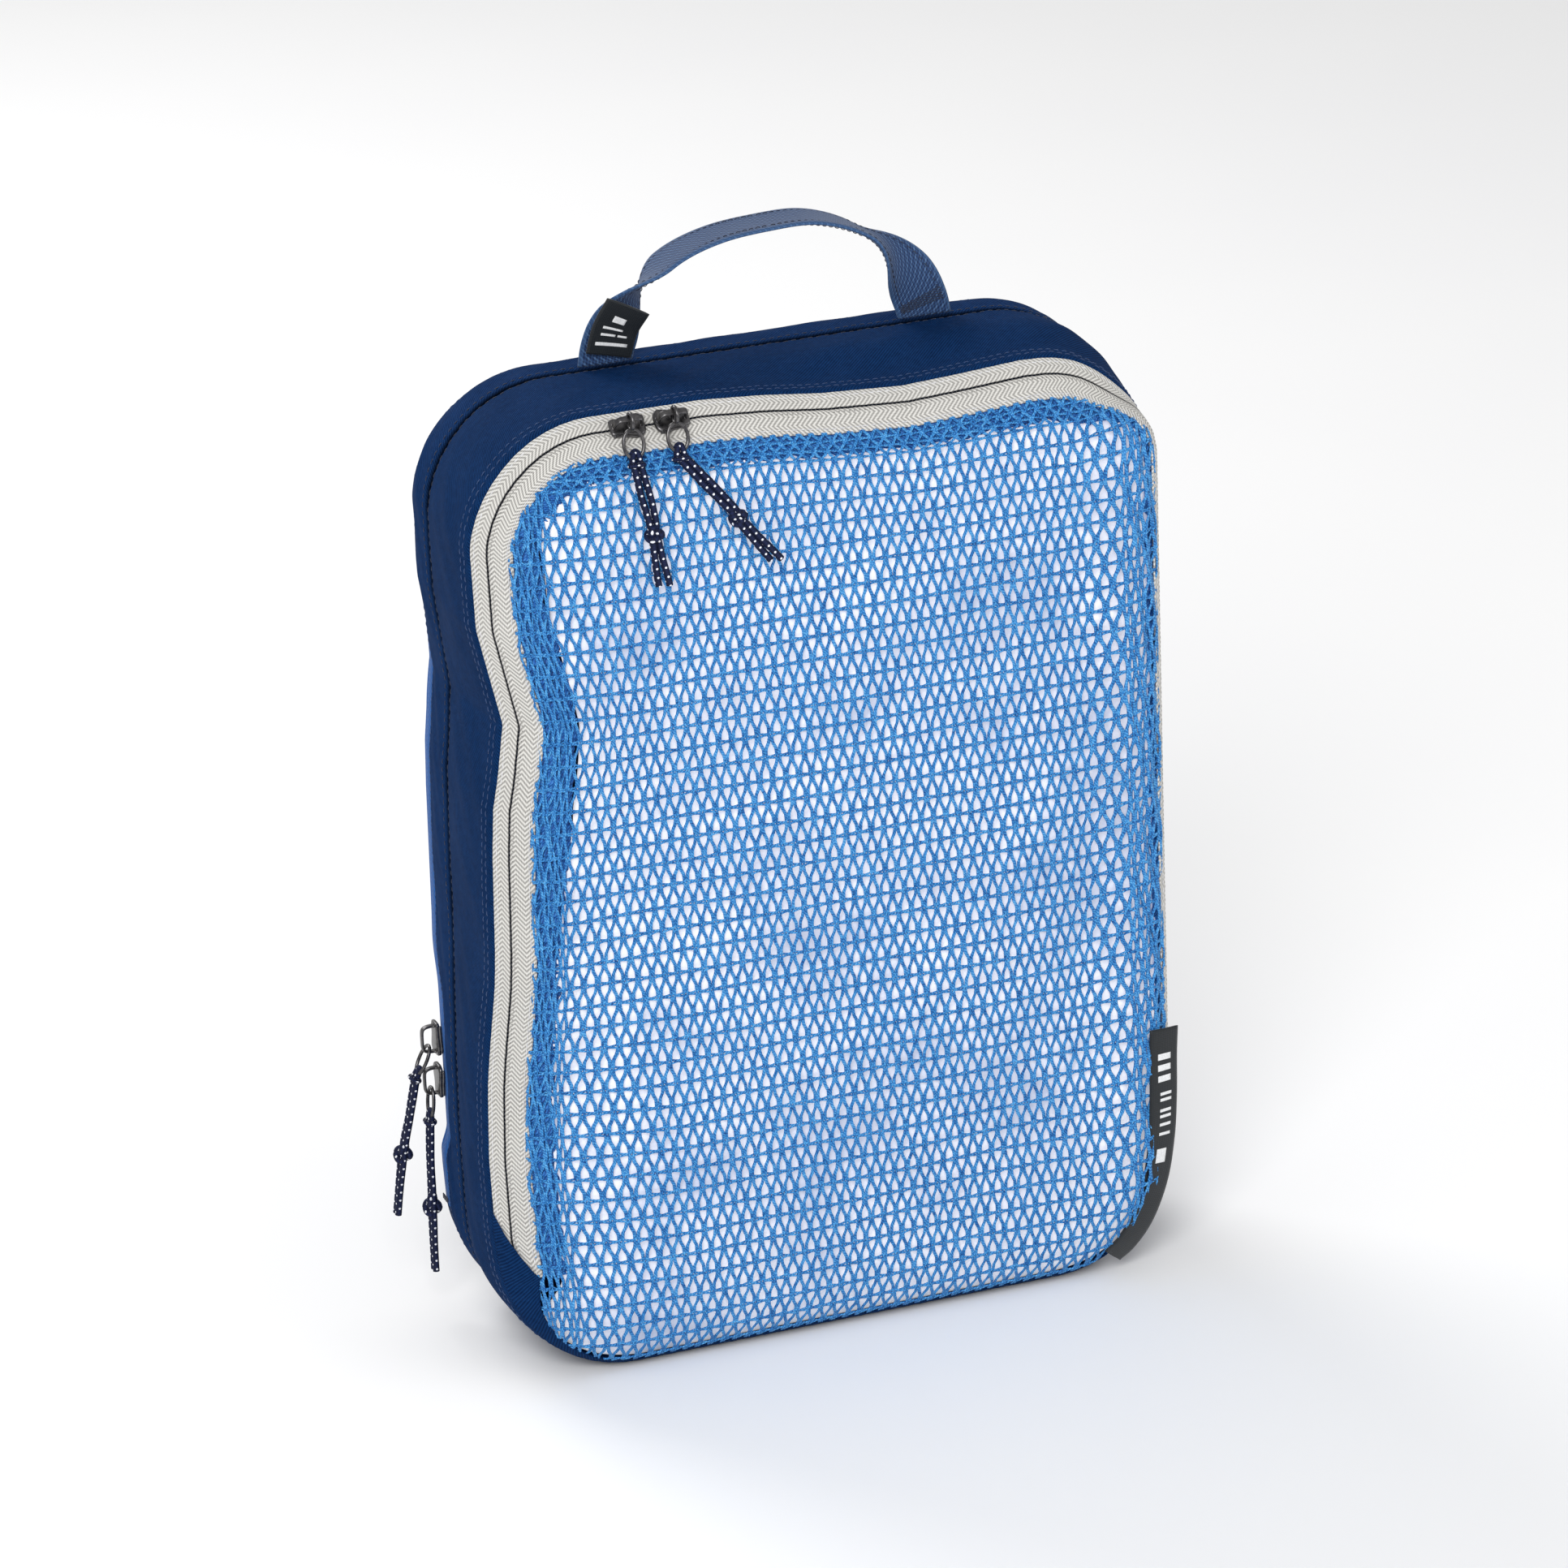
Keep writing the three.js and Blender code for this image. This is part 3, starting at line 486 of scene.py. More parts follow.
def soft(V):
    """How the filled bag sags away from its sewn shape."""
    x, y, z = V[:, 0].copy(), V[:, 1].copy(), V[:, 2].copy()
    d = inset(x, z)
    nx, nz = edge_normal(x, z)
    front = smooth(-y, 0, 38)
    # right side: the zip band rolls round on to the side
    wr = smooth(nx, 0.35, 0.92) * smooth(z, 6, 52) * (1 - smooth(z, 322, 352))
    D = np.interp(d, [0, 5.2, 9, 12.6, 16, 20, 25, 34], [0.8, 6.4, 9.2, 9.1, 7.5, 5.5, 3.0, 0])
    T = np.interp(d, [0, 5.2, 9, 12.6, 16, 20, 25], [7.5, 8.8, 7.0, 4.5, 2.3, 0.5, 0])
    rx = D * smooth(-y, 15, 45) * wr
    x = x + rx * nx
    z = z + rx * nz
    y = y + T * smooth(-y, 5, 46) * wr
    # left side: waist above the middle, fuller below it
    wl = smooth(-V[:, 0], 70, 118)
    keep = 1 - smooth(y, 8, 16) * smooth(V[:, 2], 62, 72) * (1 - smooth(V[:, 2], 126, 150))
    dx = np.interp(V[:, 2], [0, 20, 56, 87, 116, 155, 205, 222, 234, 253, 269, 289, 319, 345, 360],
                   [0, -1.5, -4.5, -5.2, -4.0, -1.4, 0.2, 1.4, 3.8, 6.6, 3.2, -1.0, -1.6, 0, 0])
    x = x + dx * wl * keep * (0.55 + 0.45 * front)
    # lower left of the front sits back
    y = y + 8.0 * smooth(-V[:, 0], 55, 122) * smooth(V[:, 2], 4, 58) * (1 - smooth(V[:, 2], 108, 172)) * front
    # rear left swells a little near the top
    y = y + 2.4 * smooth(-V[:, 0], 60, 120) * np.exp(-((V[:, 2] - 292) / 34) ** 2) * smooth(y, 12, 30)
    # top sags towards the right
    A = np.interp(V[:, 0], [-127, -42, -20, 2, 32, 52, 76, 97, 113, 127], [0, 0, 1.6, 4.2, 6.0, 5.0, 3.4, 4.0, 5.6, 6.0])
    z = z - A * smooth(V[:, 2], 286, 352) * smooth(-V[:, 1], 14, 42)
    # the rear edge rolls away behind the top
    wt = smooth(nz, 0.2, 0.9) + 0.8 * smooth(-nx, 0.5, 0.95) * smooth(V[:, 2], 236, 300)
    roll = np.interp(V[:, 1], [12, 16, 20, 26, 40], [0, 0.8, 3.2, 6.4, 7.5]) * np.clip(wt, 0, 1) * (1 - smooth(inset(V[:, 0], V[:, 2]), 12, 34))
    x = x - roll * nx
    z = z - roll * nz
    # slow swell of the filling
    z0 = V[:, 2]
    calm = 1 - smooth(z0, 322, 346) * smooth(-V[:, 0], 36, 44) * (1 - smooth(-V[:, 0], 86, 96))
    swell = 1.3 * np.sin(V[:, 0] / 31 + 0.6) * np.sin(z0 / 47 + 0.9) + 0.7 * np.sin(V[:, 0] / 17 - z0 / 29)
    y = y + swell * smooth(d, 6, 40) * smooth(-V[:, 1], 40, 56) * calm
    return np.stack([x, y, z], 1)


COLLECT = bpy.context.scene.collection


def make(name, V, F, mat, fab=None, warp=True, flat=False):
    V = np.asarray(V, float).reshape(-1, 3)
    if warp:
        V = soft(V)
    P = V.copy()
    P[:, 1] += SHIFT
    P /= 1000
    P[:, 2] = np.maximum(P[:, 2], 0.0)
    Fs = [np.asarray(f, np.int32) for f in (F if isinstance(F, list) else [F]) if len(f)]
    tri = np.concatenate([np.stack([f[:, 0], f[:, i], f[:, i + 1]], 1) for f in Fs for i in range(1, f.shape[1] - 1)])
    a_, b_, c_ = P[tri[:, 0]], P[tri[:, 1]], P[tri[:, 2]]
    if np.einsum("ij,ij->", a_, np.cross(b_, c_)) < 0:
        Fs = [f[:, ::-1] for f in Fs]
    me = bpy.data.meshes.new(name)
    me.vertices.add(len(P))
    me.vertices.foreach_set("co", P.astype(np.float32).ravel())
    loops = np.concatenate([f.ravel() for f in Fs])
    me.loops.add(len(loops))
    me.loops.foreach_set("vertex_index", loops)
    sizes = np.concatenate([np.full(len(f), f.shape[1]) for f in Fs])
    me.polygons.add(len(sizes))
    me.polygons.foreach_set("loop_start", np.concatenate([[0], np.cumsum(sizes)[:-1]]).astype(np.int32))
    me.polygons.foreach_set("use_smooth", np.full(len(sizes), not flat))
    me.update(calc_edges=True)
    if fab is not None:
        at = me.attributes.new("fab", "FLOAT_VECTOR", "POINT")
        fab = np.asarray(fab, np.float32).reshape(len(P), -1)
        full = np.zeros((len(P), 3), np.float32)
        full[:, :fab.shape[1]] = fab
        at.data.foreach_set("vector", full.ravel())
    me.materials.append(mat)
    o = bpy.data.objects.new(name, me)
    COLLECT.objects.link(o)
    return o


def shell(A, B, closed=False, fabA=None):
    """A closed skin between two grids of one size. Returns vertices, quads, cloth coordinates."""
    n, m = A.shape[:2]
    V = np.concatenate([A.reshape(-1, 3), B.reshape(-1, 3)])
    off = n * m
    i = np.arange(n if closed else n - 1)[:, None]
    j = np.arange(m - 1)[None, :]
    i2 = (i + 1) % n
    q = np.stack([i * m + j, i2 * m + j, i2 * m + j + 1, i * m + j + 1], -1).reshape(-1, 4)
    F = [q, q[:, ::-1] + off]
    ii = np.arange(n if closed else n - 1)
    i3 = (ii + 1) % n
    for col, rev in ((0, False), (m - 1, True)):
        w = np.stack([ii * m + col, ii * m + col + off, i3 * m + col + off, i3 * m + col], -1)
        F.append(w[:, ::-1] if rev else w)
    if not closed:
        jj = np.arange(m - 1)
        for row, rev in ((0, True), (n - 1, False)):
            w = np.stack([row * m + jj, row * m + jj + off, row * m + jj + 1 + off, row * m + jj + 1], -1)
            F.append(w[:, ::-1] if rev else w)
    fab = None if fabA is None else np.concatenate([fabA.reshape(off, -1)] * 2)
    return V, np.concatenate(F), fab


def tubes(P, r, sides=6, ref=(0, 1, 0), squeeze=1.0, caps=True, start=0.0):
    """Round strands along polylines P (k, n, 3). Cloth coordinates: mm along, turns round."""
    P = np.asarray(P, float)
    if P.ndim == 2:
        P = P[None]
    k, n = P.shape[:2]
    T = np.gradient(P, axis=1)
    T /= np.maximum(np.linalg.norm(T, axis=2, keepdims=True), 1e-9)
    ref = np.broadcast_to(np.asarray(ref, float), T.shape)
    N = ref - np.sum(ref * T, 2, keepdims=True) * T
    N /= np.maximum(np.linalg.norm(N, axis=2, keepdims=True), 1e-9)
    B = np.cross(T, N)
    an = np.linspace(0, 2 * np.pi, sides, endpoint=False)
    rr = np.broadcast_to(np.asarray(r, float), (k, n))[:, :, None, None]
    V = P[:, :, None] + rr * (np.cos(an)[None, None, :, None] * N[:, :, None] * squeeze + np.sin(an)[None, None, :, None] * B[:, :, None])
    seg = np.linalg.norm(np.diff(P, axis=1), axis=2)
    L = np.concatenate([np.zeros((k, 1)), np.cumsum(seg, 1)], 1) + start
    fab = np.stack([np.broadcast_to(L[:, :, None], V.shape[:3]), np.broadcast_to(an / (2 * np.pi), V.shape[:3]), np.broadcast_to(np.cos(an), V.shape[:3])], -1)
    a = np.arange(k)[:, None, None] * n * sides
    i = np.arange(n - 1)[None, :, None] * sides
    j = np.arange(sides)[None, None, :]
    j2 = (j + 1) % sides
    q = np.stack([a + i + j, a + i + j2, a + i + sides + j2, a + i + sides + j], -1).reshape(-1, 4)
    F = [q]
    if caps:
        base = np.arange(k)[:, None] * n * sides
        F.append((base + np.arange(sides)[None, ::-1]))
        F.append((base + (n - 1) * sides + np.arange(sides)[None]))
    return V.reshape(-1, 3), F, fab.reshape(-1, 3)


def join(parts):
    """Several (V, F, fab) into one."""
    Vs, Fd, fabs, off = [], {}, [], 0
    for V, F, fb in parts:
        for f in (F if isinstance(F, list) else [F]):
            if len(f):
                Fd.setdefault(f.shape[1], []).append(np.asarray(f) + off)
        Vs.append(np.asarray(V).reshape(-1, 3))
        got = np.zeros((len(Vs[-1]), 3))
        if fb is not None:
            fb = np.asarray(fb).reshape(len(Vs[-1]), -1)
            got[:, :fb.shape[1]] = fb[:, :3]
        fabs.append(got)
        off += len(Vs[-1])
    return np.concatenate(Vs), [np.concatenate(v) for v in Fd.values()], np.concatenate(fabs)


def own(o, body, nodes=(), blend=None):
    if blend:
        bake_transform(o)
    else:
        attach(o, body)
    if nodes:
        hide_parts(*nodes)
    return o


def catmull(pts, n):
    pts = np.asarray(pts, float)
    P = np.concatenate([[2 * pts[0] - pts[1]], pts, [2 * pts[-1] - pts[-2]]])
    out = []
    for i in range(1, len(P) - 2):
        t = np.linspace(0, 1, 40, endpoint=False)[:, None]
        p0, p1, p2, p3 = P[i - 1], P[i], P[i + 1], P[i + 2]
        out.append(0.5 * ((2 * p1) + (p2 - p0) * t + (2 * p0 - 5 * p1 + 4 * p2 - p3) * t ** 2 + (3 * p1 - p0 - 3 * p2 + p3) * t ** 3))
    c = np.concatenate(out + [pts[-1:]])
    L = np.concatenate([[0], np.cumsum(np.linalg.norm(np.diff(c, axis=0), axis=1))])
    q = np.linspace(0, L[-1], n)
    return np.stack([np.interp(q, L, c[:, i]) for i in range(c.shape[1])], 1)


def to_frame(p):
    p = np.asarray(p, float)
    return (float(p[0]) / 1000, (float(p[1]) + SHIFT) / 1000, float(p[2]) / 1000)


# --------------------------------------------------------------------------
# pull cords: two strands each, with a hitch on the wire and an overhand knot
# --------------------------------------------------------------------------
CORD_R = 1.25


def knot_curve(a, b, n=90):
    """An overhand knot fitted between two points."""
    a, b = np.asarray(a, float), np.asarray(b, float)
    t = np.linspace(0, 2 * np.pi, n)
    c = np.stack([np.sin(t) + 2 * np.sin(2 * t), np.cos(t) - 2 * np.cos(2 * t), -np.sin(3 * t)], 1)
    L = np.linalg.norm(b - a) - 2.2
    ax = (b - a) / np.linalg.norm(b - a)
    sx = np.cross(ax, (0, 1, 0))
    sx /= np.linalg.norm(sx)
    sy = np.cross(sx, ax)
    mid = (a + b) / 2
    return mid + c[:, 0:1] * sx * 0.82 + c[:, 1:2] * ax * (L / 2 - 1.0) / 2.9 + c[:, 2:3] * sy * 1.35


def pull_cord(name, at, across, ring, spread=1.0):
    """at(k) is the doubled cord's centreline, across the direction the strands lie side by side in."""
    across = np.asarray(across, float)
    ks = np.linspace(0, 1, 56)
    line = np.array([at(k) for k in ks])
    made, knot_nodes = [], []
    kn = make(f"{name}_cord_knot_body", *tubes_closed(knot_curve(at(0.455), at(0.665)), 1.32), warp=False)
    own(kn, f"{name}_cord_body", [f"{name}_cord_knot"])
    for side, tag in ((-1, "a"), (1, "b")):
        gap = 1.27 + 0.22 * np.exp(-((ks - 0.25) / 0.12) ** 2) - 0.35 * np.exp(-((ks - 0.56) / 0.07) ** 2) + spread * smooth(ks, 0.7, 1.0) * (0.7 if side > 0 else 0.4)
        P = line + across * (side * gap)[:, None]
        P[:, 1] += 0.5 * np.sin(ks * 9 + (2 if side > 0 else 0)) * smooth(ks, 0.1, 0.3)
        V, F, fb = tubes(P, CORD_R, 12)
        o = make(f"{name}_strand_{tag}", V, F, M_CORD, fb, warp=False)
        own(o, f"{name}_cord_body", [f"{name}_cord"] if tag == "a" else [f"{name}_cord_tails"])
        Pf = [to_frame(p) for p in P]
        # the tails are cut and melted on the real cord; no bead is drawn for them
        made.append(o)
    # hitch over the wire
    ring = np.asarray(ring, float)
    p0, p1 = line[0] - across * 1.27, line[0] + across * 1.27
    up_ = (ring - line[0]) / max(np.linalg.norm(ring - line[0]), 1e-6)
    top = ring + up_ * 2.1
    hitch = catmull([p0 - up_ * 0.8, p0 + up_ * 0.9, top - across * 0.75 + up_ * -0.4, top, top + across * 0.75 + up_ * -0.4, p1 + up_ * 0.9, p1 - up_ * 0.8], 30)
    V, F, fb = tubes(hitch, 1.2, 12, ref=(1, 0.2, 0) if abs(across[1]) > 0.5 else (0, 1, 0))
    wrapc = line[0] + np.stack([np.cos(t_) * across * 2.5 + np.sin(t_) * np.cross(across, up_) * 1.7 - up_ * 0.9 for t_ in np.linspace(0, 2 * np.pi, 40)])
    V2, F2, fb2 = tubes(wrapc, 0.85, 10, ref=up_)
    V, F, fb = join([(V, F, fb), (V2, F2, fb2)])
    o = make(f"{name}_hitch", V, F, M_CORD, fb, warp=False)
    own(o, f"{name}_cord_body")
    return made


def tubes_closed(P, r):
    V, F, fb = tubes(P, r, 12, ref=(0.3, 1, 0.2), caps=True)
    return V, F, M_CORD, fb


SLIDE_Y = float(front_y(5.2)) - 0.2
SLIDE_Z = H - 5.2
LEAN = math.atan2(4.6, 15)
BAR_Y, BAR_Z = SLIDE_Y - 6.9 * math.sqrt(0.5), SLIDE_Z + 6.9 * math.sqrt(0.5)


def down(k):
    """A point k mm below the crown bar, along the hanging puller."""
    return np.array([0, BAR_Y - k * math.sin(LEAN), BAR_Z - k * math.cos(LEAN)])


FRONT = [("front_left", -71.0, 1, (-65.5, 302)), ("front_right", -55.0, -1, (-24.5, 305))]
REAR = [("rear_upper", 107.0, -1, 0.47, [(-139.6, 28.8, 78), (-142, 31.3, 64), (-145.5, 33.4, 37)]),
        ("rear_lower", 90.5, 1, 0.1, [(-134.0, 25.2, 60), (-134.8, 23.4, 46), (-135.6, 22.4, 17)])]

for nm, sx, dr, tail in FRONT:
    start = down(15.2) + np.array([sx, 0, 0])

    def at(k, start=start, tail=tail, sx=sx):
        z = start[2] + (tail[1] - start[2]) * k
        x = sx + (tail[0] - sx) * (k * 1.05 if k < 0.5 else k + 0.025 * max(0.0, 1 - (k - 0.5) / 0.1))
        d = min(H - z, W / 2 + x)
        off = 3.0 + 2.0 * float(smooth(k, 0.1, 0.5))
        return np.array([x, min(float(front_y(d)) - off, start[1]), z])

    pull_cord(nm, at, (1, 0, 0), down(13.6) + np.array([sx, 0, 0]))

for nm, z, dr, lean, pts in REAR:
    drop = 2 * 5.6 + 1.2
    st = np.array([-W / 2 - 4.6 - drop * math.sin(lean), 26.3, z - 2.7 - drop * math.cos(lean)])
    curve = catmull([st, *pts], 201)

    def at2(k, curve=curve):
        return curve[int(round(k * 200))]

    ringb = np.array([-W / 2 - 4.6 - 11.2 * math.sin(lean), 26.3, z - 2.7 - 11.2 * math.cos(lean)])
    pull_cord(nm, at2, (0, 1, 0), ringb, spread=0.6)

# --------------------------------------------------------------------------
# cloth of the gussets
# --------------------------------------------------------------------------


def waves(s, n_list, seed):
    g = np.random.default_rng(seed)
    out = np.zeros_like(s)
    for n_ in n_list:
        out += g.uniform(0.5, 1) * np.sin(2 * np.pi * n_ * s / PERIM + g.uniform(0, 2 * np.pi))
    return out / len(n_list)


def gusset_point(s, y, band):
    """Outer surface of a gusset band at s, y (arrays that broadcast)."""
    s, y = np.broadcast_arrays(np.asarray(s, float), np.asarray(y, float))
    x, z, nx, nz = outline(s)
    y0, y1 = (-46.0, -0.5) if band == "front" else (0.5, 20.5)
    t = np.clip((y - y0) / (y1 - y0), 0, 1)
    depth = 1.9 if band == "front" else 1.1
    side = 1 - smooth(-nz, 0.45, 0.9)
    top = 1 - 0.75 * smooth(nz, 0.8, 1.0)
    belly = np.sin(np.pi * t) ** 0.75
    o = depth * belly * side * top
    o = o + 0.75 * belly * side * waves(s + 9 * t, [7, 11, 16, 23, 31], 3 if band == "front" else 5) * top
    o = o + 0.35 * belly * side * waves(s + 60 * t, [29, 41, 53], 9)
    # puckers drawn in by the seams
    edge = np.exp(-(y - y0) / 4.0) + np.exp(-(y1 - y) / 3.2)
    o = o + (0.2 if band == "front" else 0.06) * edge * np.sin(2 * np.pi * s / 6.9 + 2.2 * waves(s, [19, 37], 11)) * side
    # the cloth turns in at the middle seam
    o = o - 1.1 * np.exp(-np.abs(y - (y1 if band == "front" else y0)) / 0.8)
    return x + nx * o, z + nz * o, nx, nz


def band_grid(s, ys, band, sink=0.0):
    S, Y = np.meshgrid(s, ys, indexing="ij")
    x, z, nx, nz = gusset_point(S, Y, band)
    return np.stack([x - nx * sink, Y, z - nz * sink], -1), np.stack([S, Y], -1)


def fold_in(G, fab, s, rows):
    """Adds rows beyond the last column: (outward offset, y) pairs."""
    x, z, nx, nz = outline(s)
    add = np.stack([np.stack([x + nx * o, np.full_like(s, y), z + nz * o], -1) for o, y in rows], 1)
    fb = np.stack([np.stack([s, np.full_like(s, y)], -1) for o, y in rows], 1)
    return np.concatenate([G, add], 1), np.concatenate([fab, fb], 1)


NS = 900
S_ALL = np.linspace(0, PERIM, NS, endpoint=False)

ys = np.concatenate([np.linspace(-0.75, -6, 8), np.linspace(-8, -38, 15), np.linspace(-39.5, -45.2, 7)])
G, FB = band_grid(S_ALL, ys, "front")
G, FB = fold_in(G, FB, S_ALL, [(-0.2, -46.6), (-0.9, -47.3), (-1.7, -47.4), (-2.3, -47.0)])
GI, _ = band_grid(S_ALL, ys, "front", 1.0)
GI, _ = fold_in(GI, _, S_ALL, [(-1.3, -45.9), (-1.6, -46.1), (-1.9, -46.3), (-2.4, -46.4)])
V, F, fb = shell(G, GI, closed=True, fabA=FB)
o = make("front_gusset_cloth", V, F, M_GUSSET, fb)
own(o, "bag", ["front_gusset"])

ys = np.concatenate([np.linspace(0.75, 5, 6), np.linspace(6.5, 19.4, 10)])
G, FB = band_grid(S_ALL, ys, "rear")
GI, _ = band_grid(S_ALL, ys, "rear", 1.0)
V, F, fb = shell(G, GI, closed=True, fabA=FB)
o = make("rear_gusset_cloth", V, F, M_GUSSET2, fb)
own(o, "bag", ["rear_gusset"])


def inside_ring(name, sect, mat, nodes, fold=None, body="bag", n=None, uv=None, warp=True, ripple=0.0, s_range=None, blend=None):
    """A closed section of (inset, y) points carried round the outline, or along s_range of it."""
    n = n or NS
    if s_range is None:
        s = np.linspace(0, PERIM, n, endpoint=False)
    else:
        s = np.linspace(*s_range, max(int(n * (s_range[1] - s_range[0]) / PERIM), 8))
    x, z, nx, nz = outline(s)
    sect = np.asarray(sect, float)
    d = sect[:, 0][None, :] + ripple * np.sin(2 * np.pi * s / 6.3)[:, None] * 0
    yy = sect[:, 1][None, :] + ripple * np.sin(2 * np.pi * s / 6.3 + 2 * waves(s, [13, 31], 4))[:, None]
    P = np.stack([x[:, None] - nx[:, None] * d, np.broadcast_to(yy, (len(s), len(sect))), z[:, None] - nz[:, None] * d], -1)
    m = len(sect)
    i = np.arange(len(s) if s_range is None else len(s) - 1)[:, None]
    j = np.arange(m)[None]
    i2 = (i + 1) % len(s)
    q = np.stack([i * m + j, i2 * m + j, i2 * m + (j + 1) % m, i * m + (j + 1) % m], -1).reshape(-1, 4)
    Fs = [q]
    if s_range is not None:
        Fs.append(np.arange(m)[None, ::-1])
        Fs.append((len(s) - 1) * m + np.arange(m)[None])
    across = np.concatenate([[0], np.cumsum(np.linalg.norm(np.diff(sect, axis=0), axis=1))]) if uv is None else np.asarray(uv)
    fb = np.stack([np.broadcast_to(s[:, None], (len(s), m)), np.broadcast_to(across[None], (len(s), m))], -1).reshape(-1, 2)
    o = make(name, P.reshape(-1, 3), Fs, mat, fb, warp=warp)
    own(o, body, nodes, blend)
    return o


def thick_line(pts, t, steps=3):
    """An open (inset, y) line, smoothed, with normals turned to the inside (towards the bag) and the thickness t; no
    closed section is built here.
    """
    p = catmull(np.asarray(pts, float), (len(pts) - 1) * steps + 1)
    T = np.gradient(p, axis=0)
    T /= np.linalg.norm(T, axis=1, keepdims=True)
    nrm = np.stack([T[:, 1], -T[:, 0]], 1)
    mid = nrm[len(nrm) // 2]
    # thickness goes inwards: towards larger inset, or away from the open face
    if mid[0] < 0 and abs(mid[0]) > 0.5:
        nrm = -nrm
    return p, nrm, t


def tape(name, pts, t, mat, nodes, body="bag", s_range=None, into=1, v0=0.0, ripple=0.0, blend=None):
    p = catmull(np.asarray(pts, float), (len(pts) - 1) * 3 + 1)
    T = np.gradient(p, axis=0)
    T /= np.linalg.norm(T, axis=1, keepdims=True)
    nrm = np.stack([-T[:, 1], T[:, 0]], 1) * into
    L = np.concatenate([[0], np.cumsum(np.linalg.norm(np.diff(p, axis=0), axis=1))]) + v0
    q = p + nrm * t
    # rounded selvedges
    e0, e1 = (p[0] + q[0]) / 2 - T[0] * t * 0.35, (p[-1] + q[-1]) / 2 + T[-1] * t * 0.35
    sect = np.concatenate([e0[None], p, e1[None], q[::-1]])
    uv = np.concatenate([[L[0]], L, [L[-1]], L[::-1]])
    return inside_ring(name, sect, mat, nodes, body=body, uv=uv, s_range=s_range, ripple=ripple, blend=blend)


# where the outline passes the fold height, and the run between
S_FOLD = W / 2 - R + R * (math.pi / 2 - math.asin((R - FOLD) / R))
RUN = (S_FOLD + 0.3, PERIM - S_FOLD - 0.3)
fy = lambda d, off=0.0: float(front_y(d)) + off

tape("front_outer_tape_cloth", [(0.9, fy(0.9, -0.55)), (2.0, fy(2.0, -0.5)), (3.2, fy(3.2, -0.4)), (4.6, fy(4.6, -0.35)), (5.0, fy(5.0, 0.1))], 0.75, M_TAPE_WO,
     ["front_zip_outer_tape"], s_range=RUN, ripple=0.10)
tape("front_inner_tape_cloth", [(5.55, fy(5.6, 0.1)), (5.9, fy(5.9, -0.4)), (7.5, fy(7.5, -0.5)), (9.5, fy(9.5, -0.5)), (11.2, fy(11.2, -0.5)), (12.6, fy(12.6, -0.35))], 0.75, M_TAPE_W,
     ["front_zip_inner_tape"], body="front_flap", s_range=RUN, v0=0.9, ripple=0.14)

# rear tapes
tape("rear_outer_tape_cloth", [(-0.35, 18.6), (-0.5, 20.5), (-0.2, 23), (0.3, 25.4), (0.8, 25.9)], 0.7, M_TAPE_B,
     ["rear_zip_outer_tape"], s_range=RUN, into=-1, ripple=0.0)
tape("rear_inner_tape_cloth", [(1.3, 26.3), (0.7, 27.2), (1.4, 29.2), (3.6, 31.6), (6.2, 32.9), (8.8, 33.8)], 0.7, M_TAPE_B,
     ["rear_zip_inner_tape"], body="rear_flap", s_range=RUN, into=-1)


# coils: a nylon helix in the slit of each zip
def coil(name, dc, yc, rad, wire, pitch, mat, nodes, body, s_range=RUN):
    turns = int((s_range[1] - s_range[0]) / pitch)
    per = 9
    t = np.linspace(0, 1, turns * per)
    s = s_range[0] + 1 + (s_range[1] - s_range[0] - 2) * t
    an = 2 * np.pi * turns * t
    x, z, nx, nz = outline(s)
    dd = dc + rad * np.cos(an)
    P = np.stack([x - nx * dd, yc + rad * 0.8 * np.sin(an), z - nz * dd], 1)
    ref = np.stack([nz * 0 - nz, 0 * s, nx], 1)
    V, F, fb = tubes(P, wire, 5, ref=ref[None])
    o = make(name, V, F, mat, fb)
    own(o, body, nodes)


coil("front_outer_coil_helix", 4.9, fy(5.0, 1.2), 0.6, 0.24, 1.5, M_COIL_SHADE, ["front_zip_outer_coil"], "bag")
coil("front_inner_coil_helix", 5.75, fy(5.6, 1.2), 0.6, 0.24, 1.5, M_COIL_SHADE, ["front_zip_inner_coil"], "front_flap")
coil("rear_outer_coil_helix", 1.5, 25.4, 0.55, 0.22, 1.5, M_COIL_B, ["rear_zip_outer_coil"], "bag")
coil("rear_inner_coil_helix", 1.9, 26.5, 0.55, 0.22, 1.5, M_COIL_B, ["rear_zip_inner_coil"], "rear_flap")

# the two corner facings below the fold
LOWL, LOWR = PERIM - S_FOLD + 0.3, PERIM + S_FOLD - 0.3
def sweep_width(z):
    """How far in the facing reaches at each height: it laps the zip ends and narrows along the bottom."""
    return np.interp(z, [0, 4.4, 12.4, 27, 34, 42, 50, 58, 66], [3.2, 3.4, 5.0, 7.4, 9.8, 11.6, 7.0, 3.2, 0.55])


LAP = 179.0
s = np.linspace(PERIM - LAP, PERIM + LAP, 320)
x, z, nx, nz = outline(s)
f_ = np.linspace(0, 1, 12)
dd = 0.5 + (sweep_width(z)[:, None] - 0.5) * f_[None]
proud = 0.9 + 0.75 * smooth(z, 38, 44)[:, None] * smooth(dd, 0.5, 2.5) + 0.12 * np.sin(2 * np.pi * s / 6.1)[:, None]
proud = proud - 0.9 * smooth(f_, 0.86, 1.0)[None] * smooth(28 - z, 0, 20)[:, None]
wrap = nx[:, None] * 1.3 * smooth(nx, 0.5, 0.95)[:, None] * (1 - smooth(dd, 2.5, 8)) * smooth(z, 34, 42)[:, None]
P = np.stack([x[:, None] - nx[:, None] * dd + wrap, front_y(dd) - proud, z[:, None] - nz[:, None] * dd], -1)
V, F, fb = shell(P, P + np.array([0, 0.75, 0]), fabA=np.stack([np.broadcast_to(s[:, None], dd.shape), dd], -1))
o = make("front_facing_cloth", V, F, M_TWILL, fb)
